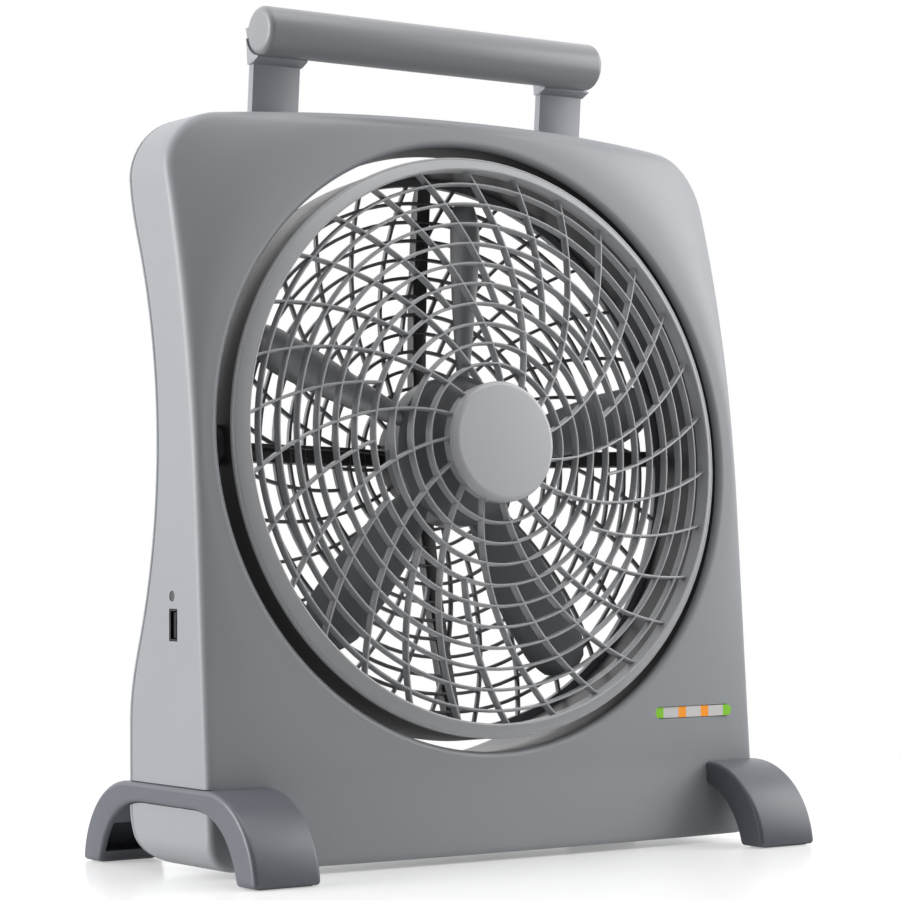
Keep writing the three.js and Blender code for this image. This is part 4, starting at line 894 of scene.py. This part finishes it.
REAR_HUB = 25
REAR_OUTER = HEAD_RADIUS - 5
REAR_DOME = 15
rear_front = back_w - GAP


def rear_top(r):
    return rear_front - REAR_DOME * cos(pi / 2 * min(r / REAR_OUTER, 1))


rear_parts = []
thin = soft_rect(1.6, 2.5, 0.5)
rear_steps = 11
pitch = (REAR_OUTER - REAR_HUB) / (rear_steps + 1)
for k in range(rear_steps):
    r = REAR_HUB + pitch * (k + 1)
    rear_parts.append(turned_mesh([(r + s, rear_top(r) + w) for s, w in thin], 96))
for i in range(30):
    start_r = REAR_HUB - 1 if i % 2 == 0 else REAR_HUB + pitch * 3
    loops = []
    for j in range(21):
        r = between(start_r, REAR_OUTER + 0.6, j / 20)
        angle = i * 2 * pi / 30 - radians(0.25) * (r - REAR_HUB)
        here = Vector((r * cos(angle), r * sin(angle)))
        ahead_angle = i * 2 * pi / 30 - radians(0.25) * (r + 0.5 - REAR_HUB)
        along = (Vector(((r + 0.5) * cos(ahead_angle), (r + 0.5) * sin(ahead_angle))) - here).normalized()
        side = Vector((-along.y, along.x))
        loops.append([head_point(here.x + side.x * s, here.y + side.y * s, rear_top(r) + w) for s, w in thin])
    rear_parts.append(loft(loops))
spokes = []
for i in range(4):
    turn = i * pi / 2
    loops = []
    section = soft_rect(7.4, 6, 0.8)
    for j in range(13):
        r = between(REAR_HUB - 2, REAR_OUTER + 0.6, j / 12)
        squash = 0.5 if j == 12 else 1
        here = (r * cos(turn), r * sin(turn))
        side = (-sin(turn), cos(turn))
        loop = []
        for s, w in section:
            loop.append(head_point(here[0] + side[0] * s, here[1] + side[1] * s, rear_top(r) + w * squash))
        loops.append(loop)
    spokes.append(loft(loops))
rim = [(outer_r, rear_front), (outer_r - 1.1, rear_front - 3)]
rim += [(REAR_OUTER - 1, rear_front - 3), (REAR_OUTER - 1, rear_front)]
rear_parts.append(turned_mesh(rim, 160))
motor_back = rear_front - REAR_DOME + 1.5
seat = [(0, motor_back - 3), (REAR_HUB - 1, motor_back - 3), (REAR_HUB, motor_back - 2)]
seat.append((REAR_HUB, motor_back + 4))
seat += [(18.3, motor_back + 4), (18.3, motor_back), (0, motor_back)]
spokes.append(turned_mesh(seat, 72, closed=False))
make("rear_grille_bars", *join(rear_parts), REAR, "fan_head", "rear_grille_plastic", 40, "rear_grille")
make("rear_grille_spokes", *join(spokes), SPOKE, "fan_head", "rear_grille_plastic", 40)

# ---- Rotor ----

ROTOR_HUB, ROTOR_RADIUS, ROTOR_FACE, ROTOR_DEPTH = 35, 117, -15, 14
BLADES, BLADE_CHORD, BLADE_THICK = 5, 30, 2


def blade(index):
    loops = []
    steps = 28
    keys = [(0, 0.5), (0.12, 0.72), (0.35, 0.92), (0.6, 1), (0.85, 0.95), (0.96, 0.72), (1, 0.42)]
    for j in range(steps + 1):
        share = j / steps
        (s0, w0), (s1, w1) = next(pair for pair in zip(keys, keys[1:]) if share <= pair[1][0])
        width = between(w0, w1, (share - s0) / (s1 - s0))
        r = between(ROTOR_HUB - 2, ROTOR_RADIUS, share)
        tilt = between(radians(42), radians(24), share)
        half = BLADE_CHORD * width / 2
        middle = ROTOR_FACE - ROTOR_DEPTH / 2 - 1.2

        def side(t, lift):
            along, camber = t * half, 2.5 * (1 - t * t)
            taper = lift * sqrt(max(1 - t**4, 0.06))
            across = along * cos(tilt) - (camber + taper) * sin(tilt)
            return (r, across + share * 6, middle + along * sin(tilt) + (camber + taper) * cos(tilt))

        ts = [-1, -0.9, -0.7, -0.4, -0.1, 0.2, 0.5, 0.75, 0.92, 1]
        loop = [side(t, BLADE_THICK / 2) for t in ts] + [side(t, -BLADE_THICK / 2) for t in ts[::-1]]
        turn = radians(80) + index * 2 * pi / BLADES
        c, s = cos(turn), sin(turn)
        loops.append([head_point(x * c - y * s, x * s + y * c, w) for x, y, w in loop])
    return loft(loops)


cup_back, cup_inner = ROTOR_FACE - ROTOR_DEPTH, ROTOR_HUB - 2.5
cup = [(0, ROTOR_FACE), (ROTOR_HUB - 5, ROTOR_FACE)]
cup += [(ROTOR_HUB - 2, ROTOR_FACE - 0.8), (ROTOR_HUB, ROTOR_FACE - 3)]
cup += [(ROTOR_HUB, cup_back), (cup_inner, cup_back), (cup_inner, ROTOR_FACE - 5), (0, ROTOR_FACE - 5)]
rotor_parts = [turned_mesh(cup, 96, closed=False)] + [blade(i) for i in range(BLADES)]
make("rotor_moulding", *join(rotor_parts), ROTOR, "rotor", "rotor_plastic", 40, "fan_rotor")

# ---- Handle ----

GRIP_R, GRIP_Y, GRIP_Z, GRIP_HALF = 11.2, 16.8, 373.6, 94
ARM_HALF, KNUCKLE_RADIUS = 12.3, 6


def grip_mesh():
    soft = 3
    right = arc((GRIP_R - soft, GRIP_HALF - soft), soft, 0, 90, 6)
    profile = [(0, -GRIP_HALF)] + [(r, -x) for r, x in right[::-1]] + right + [(0, GRIP_HALF)]
    steps = 72
    verts = []
    for i in range(steps):
        t = 2 * pi * i / steps
        verts += [(x, GRIP_Y + r * cos(t), GRIP_Z + r * sin(t)) for r, x in profile]
    count = len(profile)
    faces = []
    for i in range(steps):
        a, b = i * count, ((i + 1) % steps) * count
        faces += [(a + j, b + j, b + j + 1, a + j + 1) for j in range(count - 1)]
    return verts, faces


make("handle_grip_moulding", *grip_mesh(), GRIP, "handle", "grip_plastic", 40, "handle_grip")


def arm(side, name):
    lean = tan(radians(5))

    def front_face(z):
        return 24.8 - (z - HOUSING_TOP) * lean

    saddle_z = GRIP_Z - GRIP_R - 3
    top, low_z, thick = GRIP_Z + 3, HANDLE_PIVOT[1] - 2, 4
    left, right = side * ARM_CENTRE - ARM_HALF, side * ARM_CENTRE + ARM_HALF
    strap = [(front_face(low_z), low_z), (front_face(low_z) + thick, low_z)]
    strap.append((front_face(saddle_z) + thick, saddle_z))
    start, bend, end = strap[-1], (front_face(top) + thick + 1, GRIP_Z - 8), (GRIP_Y + GRIP_R + 2, top)
    for i in range(1, 9):
        t = i / 8
        shares = ((1 - t) ** 2, 2 * t * (1 - t), t**2)
        strap.append(tuple(start[k] * shares[0] + bend[k] * shares[1] + end[k] * shares[2] for k in (0, 1)))
    strap += [(GRIP_Y + GRIP_R - 1, top), (front_face(saddle_z), saddle_z)]
    saddle = [(front_face(saddle_z), saddle_z), (front_face(saddle_z) + thick, saddle_z)]
    saddle.append((GRIP_Y + GRIP_R, GRIP_Z))
    saddle += [(GRIP_Y + 1, GRIP_Z), (GRIP_Y + 1, GRIP_Z - GRIP_R - 0.8)]
    whole = raw("arm", *extrude_x(strap, left, right))
    knuckle = cylinder_mesh("x", KNUCKLE_RADIUS, left, right, HANDLE_PIVOT, 48)
    for mesh in (extrude_x(saddle, left - 1, right + 1), knuckle):
        tool = raw("piece", *mesh)
        modifier = whole.modifiers.new("join", "BOOLEAN")
        modifier.operation = "UNION"
        modifier.solver = "EXACT"
        modifier.object = tool
        apply_modifiers(whole)
        bpy.data.objects.remove(tool)
    grip_bore = cylinder_mesh("x", GRIP_R + 0.02, left - 2, right + 2, (GRIP_Y, GRIP_Z), 72)
    pin_bore = cylinder_mesh("x", HANDLE_PIN_BORE, left - 1, right + 1, HANDLE_PIVOT, 24)
    cut(whole, [grip_bore, pin_bore])
    whole.name = f"handle_arm_{name}_moulding"
    whole.data.materials.clear()
    whole.data.materials.append(ARM)
    bevel(whole, 0.5, 2, 50)
    finish_piece(whole, "handle", 40, f"handle_arm_{name}")


arm(-1, "left")
arm(1, "right")

# ---- Indicator lens ----

lens_y = front_y(LENS_X, LENS_Z)
LED_X = [LENS_X + (i - 1.5) * LED_PITCH for i in range(4)]
LED_HALF, LED_RADIUS = 2.3, 2.2
lens_low, lens_high = LENS_Z - LENS_HEIGHT / 2, LENS_Z + LENS_HEIGHT / 2


def indicator_block(start, end):
    return box_mesh((start, lens_y + 0.2, lens_low), (end, lens_y + 2, lens_high))


def indicator_end(x, outwards):
    """The rounded end of the row of lights."""
    radius, middle = LENS_HEIGHT / 2, LENS_X + outwards * (LENS_WIDTH - LENS_HEIGHT) / 2
    outline = [(middle + outwards * u, LENS_Z + v) for u, v in arc((0, 0), radius, -90, 90, 16)]
    outline += [(x - outwards * LED_HALF, lens_high), (x - outwards * LED_HALF, lens_low)]
    return loft([[(u, y, v) for u, v in outline] for y in (lens_y + 0.2, lens_y + 2)])


spans = [(a + LED_HALF, b - LED_HALF) for a, b in zip(LED_X, LED_X[1:])]
lens_parts = join([indicator_block(*span) for span in spans])
make("indicator_lens", *lens_parts, LENS, "housing", "lens_plastic", 40, "led_lens")
for i, x in enumerate(LED_X):
    at_end = i in (0, 3)
    face = indicator_end(x, 1 if i else -1) if at_end else indicator_block(x - LED_HALF, x + LED_HALF)
    body = cylinder_mesh("y", LED_RADIUS, lens_y + 2, lens_y + 6, (x, LENS_Z), 24)
    slot, material = ("led_green", GREEN) if at_end else ("led_orange", ORANGE)
    make(f"led_{i + 1}_body", *join([face, body]), material, "housing", slot, 40, f"led_{i + 1}")

# ---- Materials on the CAD nodes that stay ----

KEEP = {
    "foot_pad": RUBBER,
    "foot_screw": DARK_STEEL,
    "cover_screw": DARK_STEEL,
    "handle_screw": DARK_STEEL,
    "motor_screw": DARK_STEEL,
    "handle_pin": BRIGHT,
    "tilt_pin": BRIGHT,
    "tilt_bush": ACETAL,
    "motor_shaft": BRIGHT,
    "rotor_clip": BRIGHT,
    "battery_contact": BRIGHT,
    "battery_spring": BRIGHT,
    "battery_divider": INNER,
    "battery_": CELL,
    "led_board": BOARD,
    "usb_board": BOARD,
    "switch_board": BOARD,
    "speed_switch": BLACK,
    "speed_button": TRIM,
    "power_inlet": BLACK,
    "usb_port": DARK_STEEL,
    "charge_led": SMOKED,
    "motor_lead": WIRE,
    "motor": ZINC,
}
for name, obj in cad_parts.items():
    for key, material in KEEP.items():
        if name.startswith(key):
            for slot in obj.material_slots:
                slot.material = material
            break

# ---- Floor, light and camera ----


def stage_material(name, color, roughness):
    m = bpy.data.materials.new(name)
    m.use_nodes = True
    shader = m.node_tree.nodes["Principled BSDF"]
    shader.inputs["Base Color"].default_value = (*color, 1)
    shader.inputs["Roughness"].default_value = roughness
    return m


FLOOR_REACH, FLOOR_Z = 9000, -0.2
corners = [(x * FLOOR_REACH, y * FLOOR_REACH, FLOOR_Z) for x, y in ((-1, -1), (1, -1), (1, 1), (-1, 1))]
floor = raw("floor", corners, [(0, 1, 2, 3)])
floor.data.materials.append(stage_material("floor_white", (0.93, 0.93, 0.93), 0.2))


def fade_to_white(material, near, far):
    """Away from the middle, the floor turns into an even white."""
    nodes, links = material.node_tree.nodes, material.node_tree.links
    where = nodes.new("ShaderNodeNewGeometry")
    length = nodes.new("ShaderNodeVectorMath")
    length.operation = "LENGTH"
    links.new(where.outputs["Position"], length.inputs[0])
    share = nodes.new("ShaderNodeMapRange")
    share.interpolation_type = "SMOOTHSTEP"
    share.inputs["From Min"].default_value = near
    share.inputs["From Max"].default_value = far
    links.new(length.outputs["Value"], share.inputs["Value"])
    white = nodes.new("ShaderNodeEmission")
    white.inputs["Color"].default_value = (1, 1, 1, 1)
    seen = nodes.new("ShaderNodeLightPath")
    level = nodes.new("ShaderNodeMapRange")
    level.inputs["To Min"].default_value = 0.5
    links.new(seen.outputs["Is Camera Ray"], level.inputs["Value"])
    links.new(level.outputs["Result"], white.inputs["Strength"])
    mix = nodes.new("ShaderNodeMixShader")
    links.new(share.outputs["Result"], mix.inputs["Fac"])
    links.new(nodes["Principled BSDF"].outputs["BSDF"], mix.inputs[1])
    links.new(white.outputs["Emission"], mix.inputs[2])
    links.new(mix.outputs["Shader"], nodes["Material Output"].inputs["Surface"])


fade_to_white(floor.data.materials[0], -0.25, 0.7)


def studio_world():
    """An even white backdrop, lit by a room that is darker in front and to the left."""
    world = bpy.data.worlds.new("studio")
    bpy.context.scene.world = world
    world.use_nodes = True
    nodes, links = world.node_tree.nodes, world.node_tree.links
    backdrop = nodes["Background"]
    backdrop.inputs["Color"].default_value = (1, 1, 1, 1)
    backdrop.inputs["Strength"].default_value = 1.0
    where = nodes.new("ShaderNodeTexCoord")
    toward = nodes.new("ShaderNodeVectorMath")
    toward.operation = "DOT_PRODUCT"
    toward.inputs[1].default_value = Vector(DARK_WAY).normalized()
    links.new(where.outputs["Generated"], toward.inputs[0])
    level = nodes.new("ShaderNodeMapRange")
    level.interpolation_type = "SMOOTHSTEP"
    for key, value in zip(("From Min", "From Max", "To Min", "To Max"), ROOM):
        level.inputs[key].default_value = value
    links.new(toward.outputs["Value"], level.inputs["Value"])
    room = nodes.new("ShaderNodeBackground")
    room.inputs["Color"].default_value = (0.985, 0.99, 1, 1)
    links.new(level.outputs["Result"], room.inputs["Strength"])
    seen = nodes.new("ShaderNodeLightPath")
    mix = nodes.new("ShaderNodeMixShader")
    links.new(seen.outputs["Is Camera Ray"], mix.inputs["Fac"])
    links.new(room.outputs["Background"], mix.inputs[1])
    links.new(backdrop.outputs["Background"], mix.inputs[2])
    links.new(mix.outputs["Shader"], nodes["World Output"].inputs["Surface"])


DARK_WAY = (-0.42, -0.86, -0.28)
ROOM = (-0.3, 0.5, 1.42, 0.0)  # from where it is bright to where it is dark, and both strengths
studio_world()


def area_light(name, location, target, size, power):
    light = bpy.data.lights.new(name, "AREA")
    light.shape = "RECTANGLE"
    light.size, light.size_y = size
    light.energy = power
    obj = bpy.data.objects.new(name, light)
    obj.location = location
    direction = Vector(target) - Vector(location)
    obj.rotation_euler = direction.to_track_quat("-Z", "Y").to_euler()
    bpy.context.scene.collection.objects.link(obj)


area_light("left_softbox", (-1.7, 0.6, 0.6), (0, 0, 0.15), (1.2, 1.2), 38)
area_light("top_softbox", (0.1, -0.35, 1.3), (0, 0, 0.3), (0.8, 0.8), 5)
area_light("right_softbox", (0.8, -0.42, 0.55), (0.12, 0, 0.22), (0.7, 0.7), 7)

YAW, PITCH, ROLL = radians(34.62), radians(2.04), radians(-0.338)
forward = Vector((sin(YAW) * cos(PITCH), cos(YAW) * cos(PITCH), sin(PITCH)))
right = Vector((cos(YAW), -sin(YAW), 0))
up = right.cross(forward)
right, up = right * cos(ROLL) + up * sin(ROLL), up * cos(ROLL) - right * sin(ROLL)
camera = bpy.data.cameras.new("camera")
camera.lens = 113.5
camera.sensor_width = 36
camera.clip_end = 100
camera_object = bpy.data.objects.new("camera", camera)
bpy.context.scene.collection.objects.link(camera_object)
camera_object.matrix_world = Matrix(
    (
        (right.x, up.x, -forward.x, -0.7464),
        (right.y, up.y, -forward.y, -1.0784),
        (right.z, up.z, -forward.z, 0.1383),
        (0, 0, 0, 1),
    )
)
bpy.context.scene.camera = camera_object
bpy.context.scene.view_settings.view_transform = "Standard"
